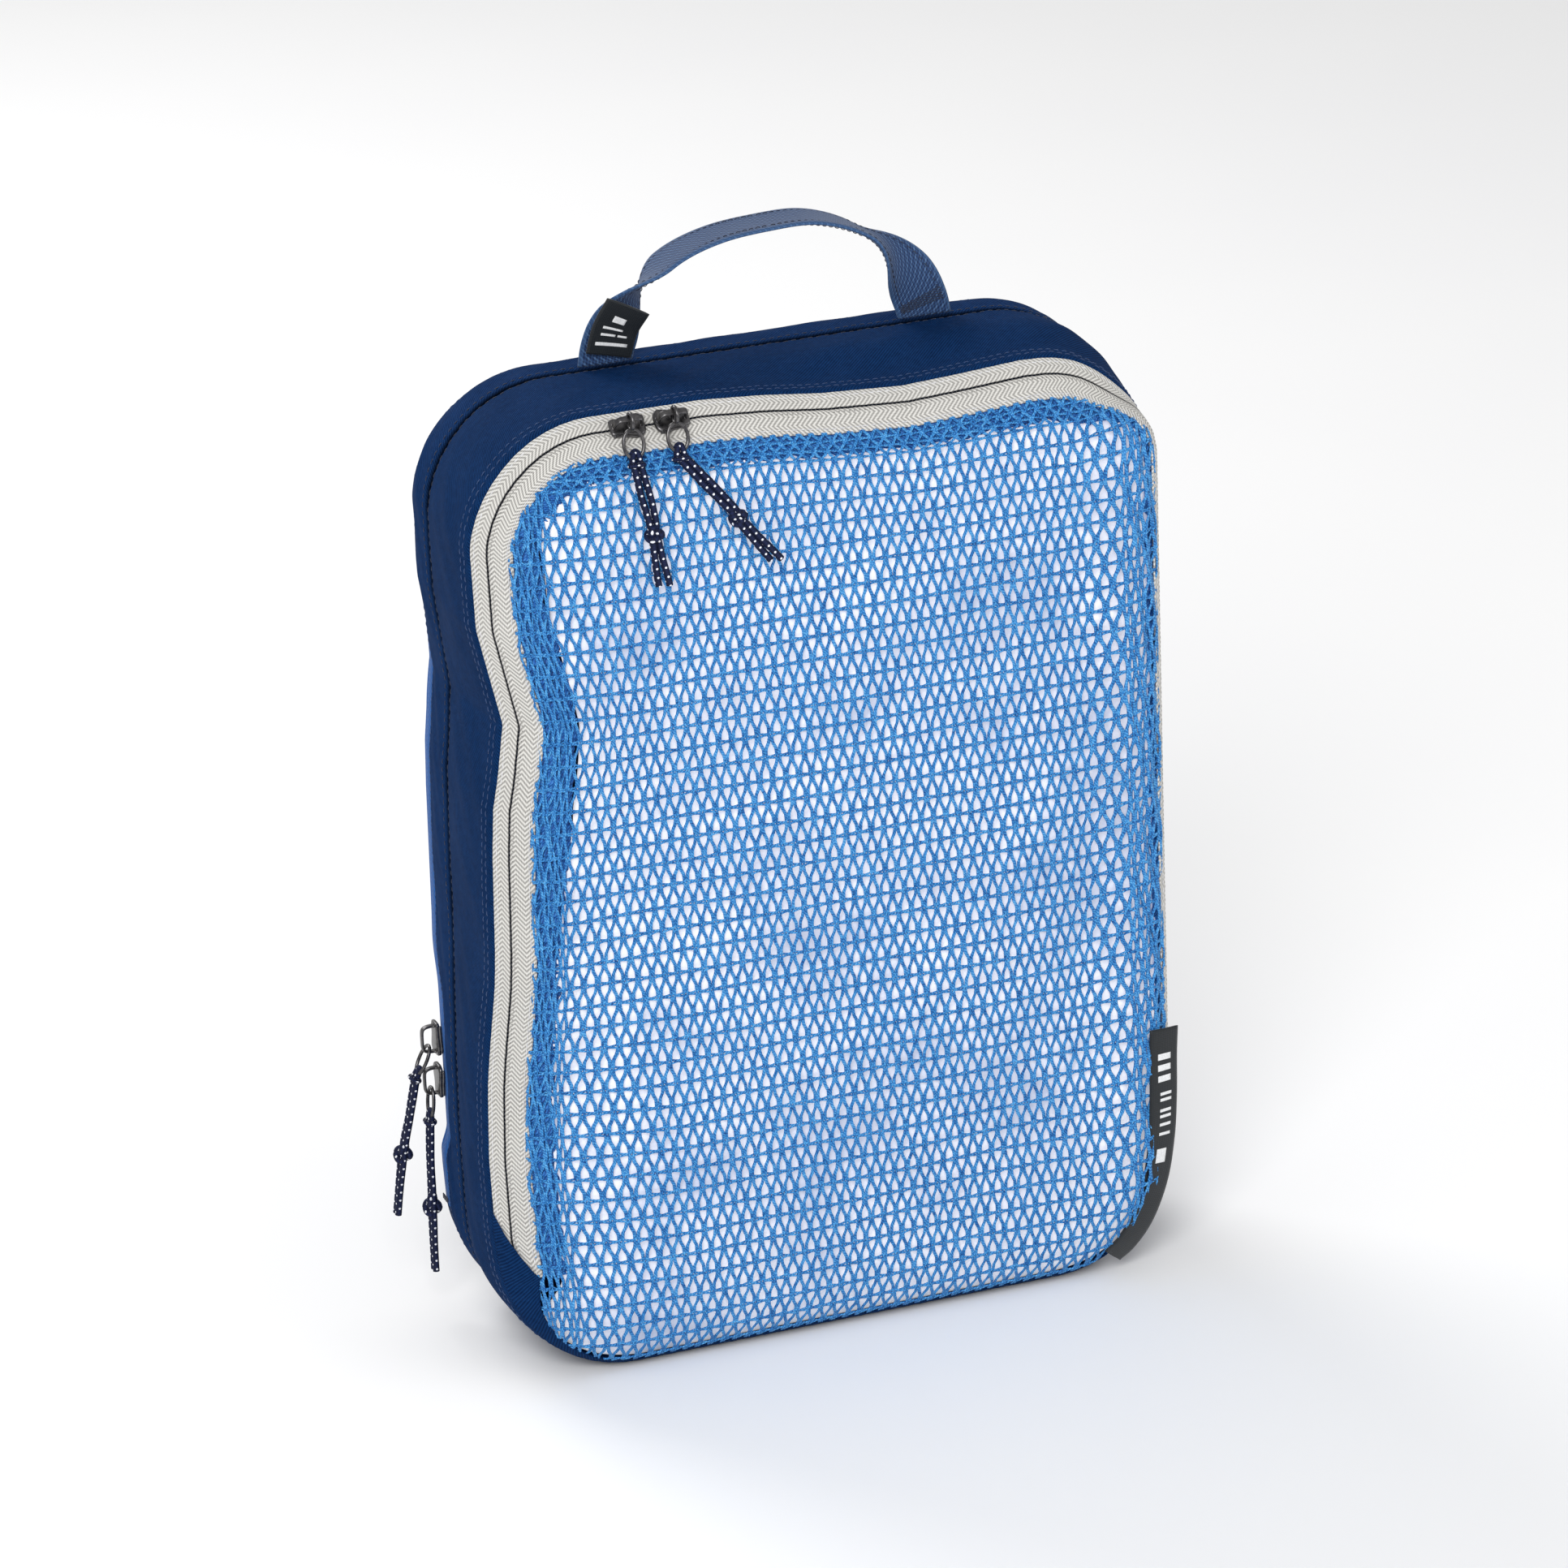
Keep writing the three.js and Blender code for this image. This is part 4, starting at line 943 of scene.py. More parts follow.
own(o, "bag", ["front_corner_facing"])
tape("rear_facing_cloth", [(-0.3, 18.8), (0.0, 22), (0.3, 26), (1.0, 28.6), (3.6, 31.6), (8.6, 33.8)], 0.9, M_TWILL, ["rear_corner_facing"],
     s_range=(LOWL, LOWR), into=-1)
inside_ring("middle_seam_binding_tape", [(1.3, -1.6), (5.6, -1.5), (6.0, -0.9), (6.0, 0.9), (5.6, 1.5), (1.3, 1.6), (1.1, 0)], M_BINDING, ["middle_seam_binding"], n=420)


# --------------------------------------------------------------------------
# panels
# --------------------------------------------------------------------------
def panel_grid(d0, nx, nz, z0=None, z1=None):
    z0 = d0 if z0 is None else z0
    z1 = H - d0 if z1 is None else z1
    # rows packed closer at the ends, where the corners turn
    k = np.linspace(0, 1, nz)
    z = z0 + (z1 - z0) * (0.5 - 0.5 * np.cos(np.pi * k)) * 0.35 + (z1 - z0) * k * 0.65
    qz = np.maximum(np.abs(z - H / 2) - (H / 2 - R), 0)
    hw = W / 2 - R + np.sqrt(np.maximum((R - d0) ** 2 - qz ** 2, 0))
    u = np.linspace(-1, 1, nx)
    X = u[None, :] * hw[:, None]
    Z = np.repeat(z[:, None], nx, 1)
    return X, Z


def creased(X, Z, seed, n, amp, width):
    """Paper-like creases: sharp folds of random direction, each fading out."""
    g = np.random.default_rng(seed)
    out = np.zeros_like(X)
    for _ in range(n):
        cx, cz = g.uniform(-115, 115), g.uniform(5, 355)
        th = g.uniform(0, np.pi)
        al = (X - cx) * np.cos(th) + (Z - cz) * np.sin(th)
        ac = -(X - cx) * np.sin(th) + (Z - cz) * np.cos(th)
        wd, ln = g.uniform(0.5, 1.3) * width, g.uniform(20, 60)
        out += g.choice([-1, 1]) * amp * np.maximum(0, 1 - np.abs(ac) / wd) * np.exp(-(al / ln) ** 2) * g.uniform(0.4, 1)
    return out


# tissue paper behind the mesh
nxt, nzt = ((130, 190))
low = np.interp(np.linspace(0, 1, nzt), [0, 0.1, 0.14], [4.0, 4.2, 7.0])   # reaches nearer the outline below the zip ends
X, Z = panel_grid(low, nxt, nzt, 3.2, H - 14)
X = X + (1 - (X / 120 + 1) / 2) * (11.5 * smooth(Z, 20, 44) + 7.5 * np.exp(-((Z - 250) / 75) ** 4) + 1.2 * np.sin(Z / 17))
D = inset(X, Z)
crease = creased(X, Z, 21, 150, 2.3, 11)
push = 2.5 - np.clip(crease, -2.6, 2.0) * smooth(D, 7, 24)
Y = front_y(D) + np.maximum(push, 1.15)
A = np.stack([X, Y, Z], -1)
V, F, fb = shell(A, A + np.array([0, 0.35, 0]), fabA=np.stack([X, Z], -1))
tissue = make("tissue_paper", V, F, M_TISSUE, fb)
own(tissue, "bag", ["display_tissue", "display_tissue_lower"], blend="front_flap")

# divider between the two compartments
X, Z = panel_grid(1.6, 70, 100)
Y = 0.0 + 0.28 * np.sin(X / 23 + Z / 31) + 0.12 * np.sin(X / 9 - Z / 13)
A = np.stack([X, Y - 0.5, Z], -1)
V, F, fb = shell(A, A + np.array([0, 1.0, 0]), fabA=np.stack([X, Z], -1))
o = make("divider_cloth", V, F, M_LINING, fb)
own(o, "bag", ["divider_panel"])

# rear panel: soft twill, lightly wrinkled towards its seams
X, Z = panel_grid(8.9, 110, 160)
D = inset(X, Z)
wr = 2.0 * np.sin(X / 19 + 0.5 * np.sin(Z / 27)) * np.sin(Z / 33 + 1) + 0.4 * np.sin(X / 8 + Z / 15)
wr = wr + 0.35 * np.sin(2 * np.pi * (X + Z) / 9.5) * np.exp(-(D - 9) / 6)
wr = wr - creased(X, Z, 5, 64, 2.3, 9) * smooth(D, 9, 22)
Y = rear_y(D) + 0.2 + wr * smooth(D, 8.9, 20) + 3.2 * smooth(D, 10, 90)
A = np.stack([X, Y, Z], -1)
V, F, fb = shell(A, A - np.array([0, 1.0, 0]), fabA=np.stack([X, Z], -1))
o = make("rear_panel_cloth", V, F, M_TWILL2, fb)
own(o, "bag", ["rear_panel", "rear_lower_panel"], blend="rear_flap")


# --------------------------------------------------------------------------
# knitted mesh: one continuous net of yarns, gathered at its edges
# --------------------------------------------------------------------------
PX, PZ = 4.75, 8.35
GATHER = 9.0


def net_x(u):
    """Sewn position of a column: even in the middle, gathered at the sides."""
    u = np.asarray(u, float)
    h = 104.0
    over = np.maximum(np.abs(u) - h, 0)
    return np.sign(u) * (np.minimum(np.abs(u), h) + over / 2.2)


def net_z(v):
    v = np.asarray(v, float)
    top = 338.0
    over = np.maximum(v - top, 0)
    return np.minimum(v, top) + over / 2.6


def net_surface(X, Z, lift):
    D = inset(X, Z)
    sag = 0.9 * np.sin(X / 37 + Z / 61) - 0.010 * (X / 10) ** 2
    # loose pleats where the edge is gathered
    pleat = 0.5 * np.sin(X * 2 * np.pi / 3.9 + 1.5 * np.sin(Z / 14)) * smooth(np.abs(X), 101, 108) * (1 - smooth(D, 20, 24))
    pleat_t = 0.5 * np.sin(Z * 2 * np.pi / 3.1 + np.sin(X / 12)) * smooth(Z, 334, 340)
    Y = front_y(D) - 0.55 - lift + pleat + pleat_t
    return Y, sag


def net_points(U, Vv, lift):
    X, Z = net_x(U), net_z(Vv)
    # gathered columns wander and ride over each other
    g = smooth(np.abs(U), 103, 112)
    X = X + g * (0.42 * np.sin(Vv / 4.7 + U / 1.9) + 0.3 * np.sin(Vv / 11.3 + U / 5.3))
    lift = lift + g * 0.45 * np.sin(Vv / 6.1 + U / 2.6)
    Y, sag = net_surface(X, Z, lift)
    return np.stack([X, Y, Z], -1)


def clip_runs(P, limit):
    """Splits a polyline where it leaves the panel; returns runs."""
    ok = inset(P[:, 0], P[:, 2]) >= limit(P[:, 2])
    idx = np.flatnonzero(ok)
    if len(idx) < 4:
        return []
    cuts = np.flatnonzero(np.diff(idx) > 1)
    return [P[r] for r in np.split(idx, cuts + 1) if len(r) >= 4]


EDGE = lambda z: np.where(z > 44, 11.4, np.interp(z, [0, 6, 20, 30, 44], [2.4, 3.2, 4.8, 7.6, 11.0]))
SUB = 8
U1, V1 = 104.0 + 18.0 * 2.2, 338 + 10 * 2.6
rows = int(V1 / PZ) + 2
cols = int(2 * U1 / PX) + 2
jit = np.random.default_rng(33)


def strands_to_mesh(runs, r, sides=5):
    """Runs of differing length become tubes, grouped by length so that they can be built together."""
    parts = []
    by = {}
    for rn in runs:
        by.setdefault(len(rn), []).append(rn)
    for n_, group in by.items():
        V, F, fb = tubes(np.array(group), r, sides, caps=False)
        parts.append((V, F, fb))
    return join(parts)


def diagonal_family(sign):
    runs = []
    for k in range(-rows, cols + rows):
        for side in (-1, 1):
            v = np.arange(0, (rows + 1) * SUB + 1) / SUB      # in rows
            u = k * PX - U1 + sign * v * PX / 2
            # the two families lie together above and below each knot, so holes are drops
            ph = np.mod(v, 1.0)
            pinch = np.interp(ph, [0, 0.12, 0.35, 0.65, 0.88, 1], [0, 0.165, -0.2, 0.2, -0.165, 0])
            uu = u + sign * pinch + side * (0.27 + 0.35 * np.exp(-(np.minimum(ph, 1 - ph) / 0.07) ** 2))
            vv = v * PZ - 3.0
            lift = 0.22 * sign * np.cos(2 * np.pi * v) + 0.12 * side * np.sin(2 * np.pi * v + k)
            keep_ = (np.abs(uu) <= U1) & (vv <= V1) & (vv >= -2)
            if keep_.sum() < 4:
                continue
            uu, vv, lift = uu[keep_], vv[keep_], lift[keep_]
            uu = uu + 0.16 * np.sin(vv / 5.3 + k * 1.7)
            runs += clip_runs(net_points(uu, vv, lift), EDGE)
    return runs


def chain_rows():
    runs = []
    for j in range(rows + 1):
        for side in (-1, 1):
            u = np.arange(-U1, U1, PX / (8))
            base = j * PZ - 3.0
            # the two yarns of a row lie together between holes and open round each knot
            off = (u + U1) / PX - j / 2
            off = (off - np.round(off)) * PX
            vv = base + side * (0.29 + 0.68 * np.exp(-(off / 0.85) ** 2)) + 0.14 * np.sin(u / 9 + j)
            lift = 0.30 * side * np.cos(2 * np.pi * u / PX) + 0.1
            if base > V1 or base < -2:
                continue
            runs += clip_runs(net_points(u, vv, np.broadcast_to(lift, u.shape)), EDGE)
    return runs


for tag, runs, rr in (("a", diagonal_family(1), 0.37), ("b", diagonal_family(-1), 0.37), ("rows", chain_rows(), 0.4)):
    for part in range(3):
        V, F, fb = strands_to_mesh(runs[part::3], rr, 4)
        o = make(f"mesh_net_{tag}_{part + 1}", V, F, M_MESH, fb)
        own(o, "bag", ["mesh_panel", "mesh_lower_panel"], blend="front_flap")

# gathered hem: a dense, pleated strip of the same knit behind the tape's edge
s = np.linspace(*RUN, 1500)
x, z, nx, nz = outline(s)
wide = (9.2 + (5.0 * np.exp(-((z - 268) / 34) ** 2) + 4.2 * np.exp(-((z - 214) / 30) ** 2)) * smooth(-nx, 0.5, 0.9)) * (1 - 0.62 * smooth(nx, 0.5, 0.95))
dd0 = np.linspace(0, 1, 9)
fade = smooth(dd0, 0.66, 1.0)
pl = 0.75 * np.sin(2 * np.pi * s / 2.35 + 2.4 * waves(s, [40, 77, 131], 8))[:, None] * (1 - 0.4 * fade)[None]
deep = 1.0 + 0.9 * fade
dd = 11.4 + dd0[None] * wide[:, None] + (1.6 * waves(s, [60, 97, 171], 12))[:, None] * fade[None]
P = np.stack([x[:, None] - nx[:, None] * dd, front_y(dd) + 0.75 * deep[None] + pl * 0.6, z[:, None] - nz[:, None] * dd], -1)
B_ = P + np.array([0, 0.5, 0])
V, F, fb = shell(P, B_, fabA=np.stack([dd, np.broadcast_to((s / 2.35)[:, None], P.shape[:2])], -1))
o = make("gathered_hem_cloth", V, F, M_BUNCH, fb)
own(o, "front_flap", ["mesh_hem"])

# --------------------------------------------------------------------------
# stitching
# --------------------------------------------------------------------------
def stitch_line(name, point, s0, s1, pitch, length, rad, mat, body, lift=0.12, blend=None):
    """point(s) gives positions and outward directions; each stitch dips in at both ends."""
    n_ = int(abs(s1 - s0) / pitch)
    c = s0 + (np.arange(n_) + 0.5) * (s1 - s0) / n_
    t = np.linspace(-0.5, 0.5, 5)
    ss = c[:, None] + t[None] * length
    P, N = point(ss.ravel())
    P, N = P.reshape(n_, 5, 3), N.reshape(n_, 5, 3)
    h = lift * np.array([-3.0, 0.6, 1.0, 0.6, -3.0])
    P = P + N * h[None, :, None]
    V, F, fb = tubes(P, rad * np.array([0.7, 1, 1.05, 1, 0.7])[None], 6, ref=N)
    o = make(name, V, F, mat, fb)
    return own(o, body, blend=blend)


def on_gusset(y, band):
    def f(ss):
        x, z, nx, nz = gusset_point(ss, np.full_like(ss, y), band)
        return np.stack([x, np.full_like(ss, y), z], 1), np.stack([nx, np.zeros_like(nx), nz], 1)
    return f


def on_front(d, off):
    def f(ss):
        x, z, nx, nz = outline(ss)
        return np.stack([x - nx * d, np.full_like(ss, float(front_y(d)) + off), z - nz * d], 1), np.stack([0 * nx, 0 * nx - 1, 0 * nx], 1)
    return f


stitch_line("front_topstitch_a", on_gusset(-44.2, "front"), 0, PERIM, 3.1, 2.5, 0.2, M_THREAD, "bag")
stitch_line("front_topstitch_b", on_gusset(-41.2, "front"), 0, PERIM, 3.1, 2.5, 0.2, M_THREAD, "bag")
stitch_line("seam_topstitch_front", on_gusset(-3.0, "front"), 0, PERIM, 3.1, 2.4, 0.18, M_THREAD_D, "bag")
stitch_line("seam_topstitch_rear", on_gusset(3.0, "rear"), 0, PERIM, 3.1, 2.4, 0.18, M_THREAD_D, "bag")
stitch_line("rear_outer_topstitch", on_gusset(17.6, "rear"), 0, PERIM, 3.1, 2.5, 0.19, M_THREAD, "bag")


def on_rear(d, off):
    def f(ss):
        x, z, nx, nz = outline(ss)
        return np.stack([x - nx * d, np.full_like(ss, float(rear_y(d)) + off), z - nz * d], 1), np.stack([0 * nx, 0 * nx + 1, 0 * nx], 1)
    return f


stitch_line("rear_panel_stitch_a", on_rear(7.4, 0.75), RUN[0], RUN[1], 3.0, 2.4, 0.18, M_THREAD, "rear_flap", 0.1)
stitch_line("rear_panel_stitch_b", on_rear(10.2, 0.55), RUN[0], RUN[1], 3.0, 2.4, 0.18, M_THREAD, "rear_flap", 0.1)
stitch_line("outer_tape_stitch", on_front(1.8, -0.62), RUN[0], RUN[1], 2.9, 2.3, 0.17, M_THREAD_W, "bag", 0.1)
stitch_line("inner_tape_stitch", on_front(10.9, -0.62), RUN[0], RUN[1], 2.9, 2.3, 0.17, M_THREAD_W, "front_flap", 0.1)


# --------------------------------------------------------------------------
# handle: flat webbing that turns a quarter on the way up
# --------------------------------------------------------------------------
HB = H + 1.2
HPATH = [(-60, 0), (-58.2, 7), (-53.6, 16.5), (-45, 27), (-33, 35.6), (-17, 41), (0, 42.8),
         (17, 42.2), (33, 36.8), (45.5, 27.8), (54, 16.5), (58.2, 7), (60, 0)]


def handle_frame(n):
    c = catmull([(x, 0, HB + z) for x, z in HPATH], n)
    T = np.gradient(c, axis=0)
    T /= np.linalg.norm(T, axis=1, keepdims=True)
    u = np.linspace(0, 1, n)
    edge = np.minimum(u, 1 - u)
    turn = smooth(edge, 0.05, 0.26) * np.pi / 2
    across = np.stack([T[:, 2], 0 * u, -T[:, 0]], 1)
    across[across[:, 0] < 0] *= -1
    wv = across * np.cos(turn)[:, None] + np.array([0, 1, 0]) * np.sin(turn)[:, None]
    bl = (1 - smooth(edge, 0.0, 0.03))[:, None]
    wv = wv * (1 - bl) + np.array([1.0, 0, 0]) * bl
    wv -= np.sum(wv * T, 1, keepdims=True) * T * (1 - bl)
    wv /= np.linalg.norm(wv, axis=1, keepdims=True)
    nv = np.cross(T, wv)
    nv /= np.linalg.norm(nv, axis=1, keepdims=True)
    for i in range(1, n):
        if np.dot(nv[i], nv[i - 1]) < 0:
            nv[i] *= -1
    if nv[0][1] > 0:
        nv = -nv
    return c, T, wv, nv


def strap(c, wv, nv, width, thick, cols, crown=0.0, curl=0.0):
    """Webbing with rounded selvedges. Returns V, F, fab."""
    a = np.linspace(-1, 1, cols)
    th = thick / 2 * np.sqrt(np.maximum(1 - np.abs(a) ** 14, 0.12))
    L = np.concatenate([[0], np.cumsum(np.linalg.norm(np.diff(c, axis=0), axis=1))])
    lift = crown * (1 - a ** 2) + curl * a ** 2
    top = c[:, None] + wv[:, None] * (a * width / 2)[None, :, None] + nv[:, None] * (th + lift)[None, :, None]
    bot = c[:, None] + wv[:, None] * (a * width / 2)[None, :, None] + nv[:, None] * (-th + lift)[None, :, None]
    fab = np.stack([np.broadcast_to(L[:, None], (len(c), cols)), np.broadcast_to((a * width / 2)[None], (len(c), cols))], -1)
    return shell(top, bot, fabA=fab)


c, T, wv, nv = handle_frame(200)
wob = 0.5 * np.sin(np.linspace(0, 17, 200)) * np.sin(np.linspace(0, np.pi, 200))
V, F, fb = strap(c + nv * wob[:, None] * 0.5, wv, nv, 20.0, 1.6, 27, crown=0.35)
o = make("handle_strap", V, F, M_WEB, fb, warp=False)
own(o, "handle", ["handle_webbing"])

# two rows of stitches along the strap and a bar tack at each foot
for tag, across_ in (("a", -7.2), ("b", 7.2)):
    Ls = np.linspace(6, 193, 62).astype(int)
    st = []
    for i in Ls:
        for sgn in (1, -1):
            t = np.linspace(-0.5, 0.5, 5)
            base = c[i] + wv[i] * across_ + nv[i] * (sgn * (0.8 + 0.35 * sgn * (1 - (across_ / 10) ** 2)) + 0) 
            h = np.array([-0.45, 0.10, 0.16, 0.10, -0.45])
            st.append(base + T[i] * t[:, None] * 2.0 + nv[i] * h[:, None] * sgn)
    V, F, fb = tubes(np.array(st), 0.16, 6, ref=(0.2, 1, 0.3))
    own(make(f"handle_stitch_{tag}", V, F, M_THREAD_D, fb, warp=False), "handle")
tack = []
for i0, sg in ((5, 1), (194, -1)):
    for row in range(5):
        i = i0 + sg * row
        for sgn in (1, -1):
            t = np.linspace(-1, 1, 24)
            zig = 0.7 * np.sign(np.sin(t * 34)) * 0.4
            tack.append(c[i] + wv[i] * (t * 8.2)[:, None] + T[i] * zig[:, None] + nv[i] * sgn * (0.95 + 0.3 * sgn * (1 - (t * 0.82)[:, None] ** 2)))
V, F, fb = tubes(np.array(tack), 0.17, 6, ref=(0.2, 1, 0.3))
own(make("handle_bar_tacks", V, F, M_THREAD_D, fb, warp=False), "handle")


# folded size tag on the left leg, with plain bars for its print
def ribbon_piece(name, stations, width, thick, body, nodes, blend=None, warp=False, bars=(), crown=0.0, n=40, side=1):
    cc = catmull([s_[0] for s_ in stations], n)
    ww = catmull([s_[1] for s_ in stations], n)
    T_ = np.gradient(cc, axis=0)
    T_ /= np.linalg.norm(T_, axis=1, keepdims=True)
    ww -= np.sum(ww * T_, 1, keepdims=True) * T_
    ww /= np.linalg.norm(ww, axis=1, keepdims=True)
    nn = np.cross(T_, ww)
    if nn[n // 2][1] > 0:
        nn = -nn
    V, F, fb = strap(cc, ww, nn, width, thick, 15, crown=crown)
    o = make(name, V, F, M_RIBBON, fb, warp=warp)
    own(o, body, nodes, blend=blend)
    prt = []
    for (u0, u1, a0, a1) in bars:
        iu = np.linspace(u0, u1, 14)
        ia = np.linspace(a0, a1, 8)
        ci = np.stack([np.interp(iu, np.linspace(0, 1, n), cc[:, k]) for k in range(3)], 1)
        wi = np.stack([np.interp(iu, np.linspace(0, 1, n), ww[:, k]) for k in range(3)], 1)
        ni = np.stack([np.interp(iu, np.linspace(0, 1, n), nn[:, k]) for k in range(3)], 1)
        lift = thick / 2 + crown * (1 - ia ** 2)
        A_ = ci[:, None] + wi[:, None] * (ia * width / 2)[None, :, None] + ni[:, None] * (lift + 0.10)[None, :, None]
        B2 = ci[:, None] + wi[:, None] * (ia * width / 2)[None, :, None] + ni[:, None] * (lift - 0.05)[None, :, None]
        prt.append(shell(A_, B2, fabA=np.zeros(A_.shape[:2] + (2,))))
    if prt:
        V, F, fb = join(prt)
        o = make(name + "_print", V, F, M_PRINT, fb, warp=warp)
        own(o, body, blend=blend)


ribbon_piece("size_tag_ribbon", [((-59.5, -2.9, HB + 3.5), (1, 0, 0)), ((-57.0, -4.2, HB + 13), (0.93, 0, -0.37)), ((-52.6, -6.8, HB + 21.5), (0.85, 0, -0.52))],
             17, 1.0, "handle", ["size_tag"], crown=-0.5,
             bars=[(0.18, 0.24, -0.7, 0.7), (0.36, 0.40, -0.55, 0.1), (0.36, 0.40, 0.2, 0.6), (0.48, 0.52, -0.55, 0.35), (0.62, 0.74, -0.28, 0.28)])

st = [((121.8, -58.6, 97), (0.97, 0.24, 0.10)), ((121.0, -59.2, 86), (0.97, 0.24, 0.02)), ((120.6, -59.6, 70), (0.97, 0.24, 0)), ((119.8, -59.2, 54), (0.97, 0.24, 0.0)),
      ((117.4, -58.2, 37), (0.95, 0.26, -0.14)), ((112.6, -56.6, 22), (0.86, 0.30, -0.40)), ((106.6, -55.0, 12.4), (0.74, 0.36, -0.54)), ((101.6, -53.6, 7.6), (0.64, 0.42, -0.60))]
bars = [(u_, u_ + 0.025, -0.45, 0.45) for u_ in (0.10, 0.145, 0.19)] + [(u_, u_ + 0.012, -0.3, 0.5) for u_ in (0.26, 0.285, 0.33, 0.355, 0.39, 0.43)] + [(0.50, 0.56, -0.35, 0.35)]
ribbon_piece("edge_ribbon_band", st, 12.6, 0.9, "front_flap", ["edge_ribbon", "edge_ribbon_lower"], blend="front_flap", warp=False, crown=0.25, n=70, bars=bars)


# bar tacks across the zip ends
def end_tack(name, pts, nrm, node, mat=M_THREAD_D):
    base = catmull(pts, 60)
    t = np.linspace(0, 1, 60)
    zig = 1.05 * np.sin(t * 2 * np.pi * 14)
    P = base + np.array([0, 0, 1.0]) * zig[:, None] + np.asarray(nrm)[None] * 0.25
    under = base
    V1_, F1_, f1_ = tubes(P, 0.24, 6, ref=nrm)
    V2_, F2_, f2_ = tubes(under, 0.75, 8, ref=nrm, squeeze=0.45)
    V, F, fb = join([(V1_, F1_, f1_), (V2_, F2_, f2_)])
    own(make(name, V, F, mat, fb), "bag", [node])


for tag, sd in (("left", -1), ("right", 1)):
    end_tack(f"front_tack_{tag}", [(sd * (W / 2 - d_ + 0.2), float(front_y(d_)) - 0.1, FOLD + 1.6) for d_ in (2.5, 4.5, 7, 9.5)],
             np.array([sd * 0.5, -0.86, 0]), f"front_zip_end_tack_{tag}")
    end_tack(f"rear_tack_{tag}", [(sd * (W / 2 + 0.65), y_, FOLD + 2.6) for y_ in (20.5, 22, 24, 25.4)],
             np.array([sd * 1.0, 0, 0]), f"rear_zip_end_tack_{tag}")


# --------------------------------------------------------------------------
# sliders and wire pullers
# --------------------------------------------------------------------------
def extrude_rings(rings):
    """Closed solid through rings of equal point count."""
    n_, m = len(rings), len(rings[0])
    V = np.concatenate(rings)
    i = np.arange(n_ - 1)[:, None] * m
    j = np.arange(m)[None]
    q = np.stack([i + j, i + (j + 1) % m, i + m + (j + 1) % m, i + m + j], -1).reshape(-1, 4)
    return V, [q, np.arange(m)[None, ::-1], (n_ - 1) * m + np.arange(m)[None]], None


def slider_solids():
    """Top plate with a waist at the coil end, side flanges, and a rounded bridge."""
    key = np.array([[-6.2, -2.7], [-5.4, -3.1], [-1.5, -3.1], [1.2, -3.7], [3.4, -4.2], [5.0, -4.0], [6.1, -2.6], [6.35, 0],
                    [6.1, 2.6], [5.0, 4.0], [3.4, 4.2], [1.2, 3.7], [-1.5, 3.1], [-5.4, 3.1], [-6.2, 2.7], [-6.4, 0]])
    closed = np.concatenate([key, key[:1]])
    ol = catmull(closed, 49)[:-1]
    rings = []
    for zz, sc in ((0.9, 0.93), (1.0, 0.985), (1.3, 1.0), (1.9, 1.0), (2.2, 0.97), (2.38, 0.90), (2.42, 0.80)):
        rings.append(np.concatenate([ol * sc, np.full((len(ol), 1), zz)], 1))
    parts = [extrude_rings(rings)]
    # flanges that wrap the coils
    for sd in (-1, 1):
        pth = catmull([(-5.4, sd * 3.0, 0.9), (-1.5, sd * 3.1, 0.8), (2.8, sd * 4.0, 0.8), (4.6, sd * 3.9, 0.9)], 20)
        parts.append(tubes(pth, 0.55, 8, ref=(0, 0, 1)))
    # bridge: a flat strap bent over the plate
    arc = catmull([(-5.0, 0, 1.6), (-4.95, 0, 4.2), (-4.5, 0, 6.0), (-3.3, 0, 6.85), (0, 0, 7.0), (3.3, 0, 6.85), (4.5, 0, 6.0), (4.95, 0, 4.2), (5.0, 0, 1.6)], 60)
    T_ = np.gradient(arc, axis=0)
    T_ /= np.linalg.norm(T_, axis=1, keepdims=True)
    N_ = np.stack([-T_[:, 2], 0 * T_[:, 0], T_[:, 0]], 1)
    an = np.linspace(0, 2 * np.pi, 20, endpoint=False)
    cx = np.sign(np.cos(an)) * np.abs(np.cos(an)) ** 0.55
    cy = np.sign(np.sin(an)) * np.abs(np.sin(an)) ** 0.55
    flare = 1.0 + 0.35 * smooth(np.abs(np.linspace(-1, 1, 60)), 0.8, 1.0)
    rings = [arc[i] + N_[i] * (cy * 0.5)[:, None] + np.array([0, 1.0, 0]) * (cx * 1.1 * flare[i])[:, None] for i in range(60)]
    parts.append(extrude_rings(rings))
    # pillow rivet where the bridge meets the plate
    for xx in (-5.0, 5.0):
        t = np.linspace(0, np.pi / 2, 6)
        rings = [np.stack([xx + 0.95 * np.cos(t_) * np.cos(an), 1.35 * np.cos(t_) * np.sin(an), np.full(20, 2.3 + 0.5 * math.sin(t_))], 1) for t_ in t[:-1]]
        parts.append(extrude_rings(rings))
    return join(parts)


def placed(V, origin, along, out):
    z = np.asarray(out, float); z /= np.linalg.norm(z)
    x = np.asarray(along, float); x /= np.linalg.norm(x)
    y = np.cross(z, x)
    return V @ np.stack([x, y, z]) + np.asarray(origin, float)


SV, SF, _ = slider_solids()


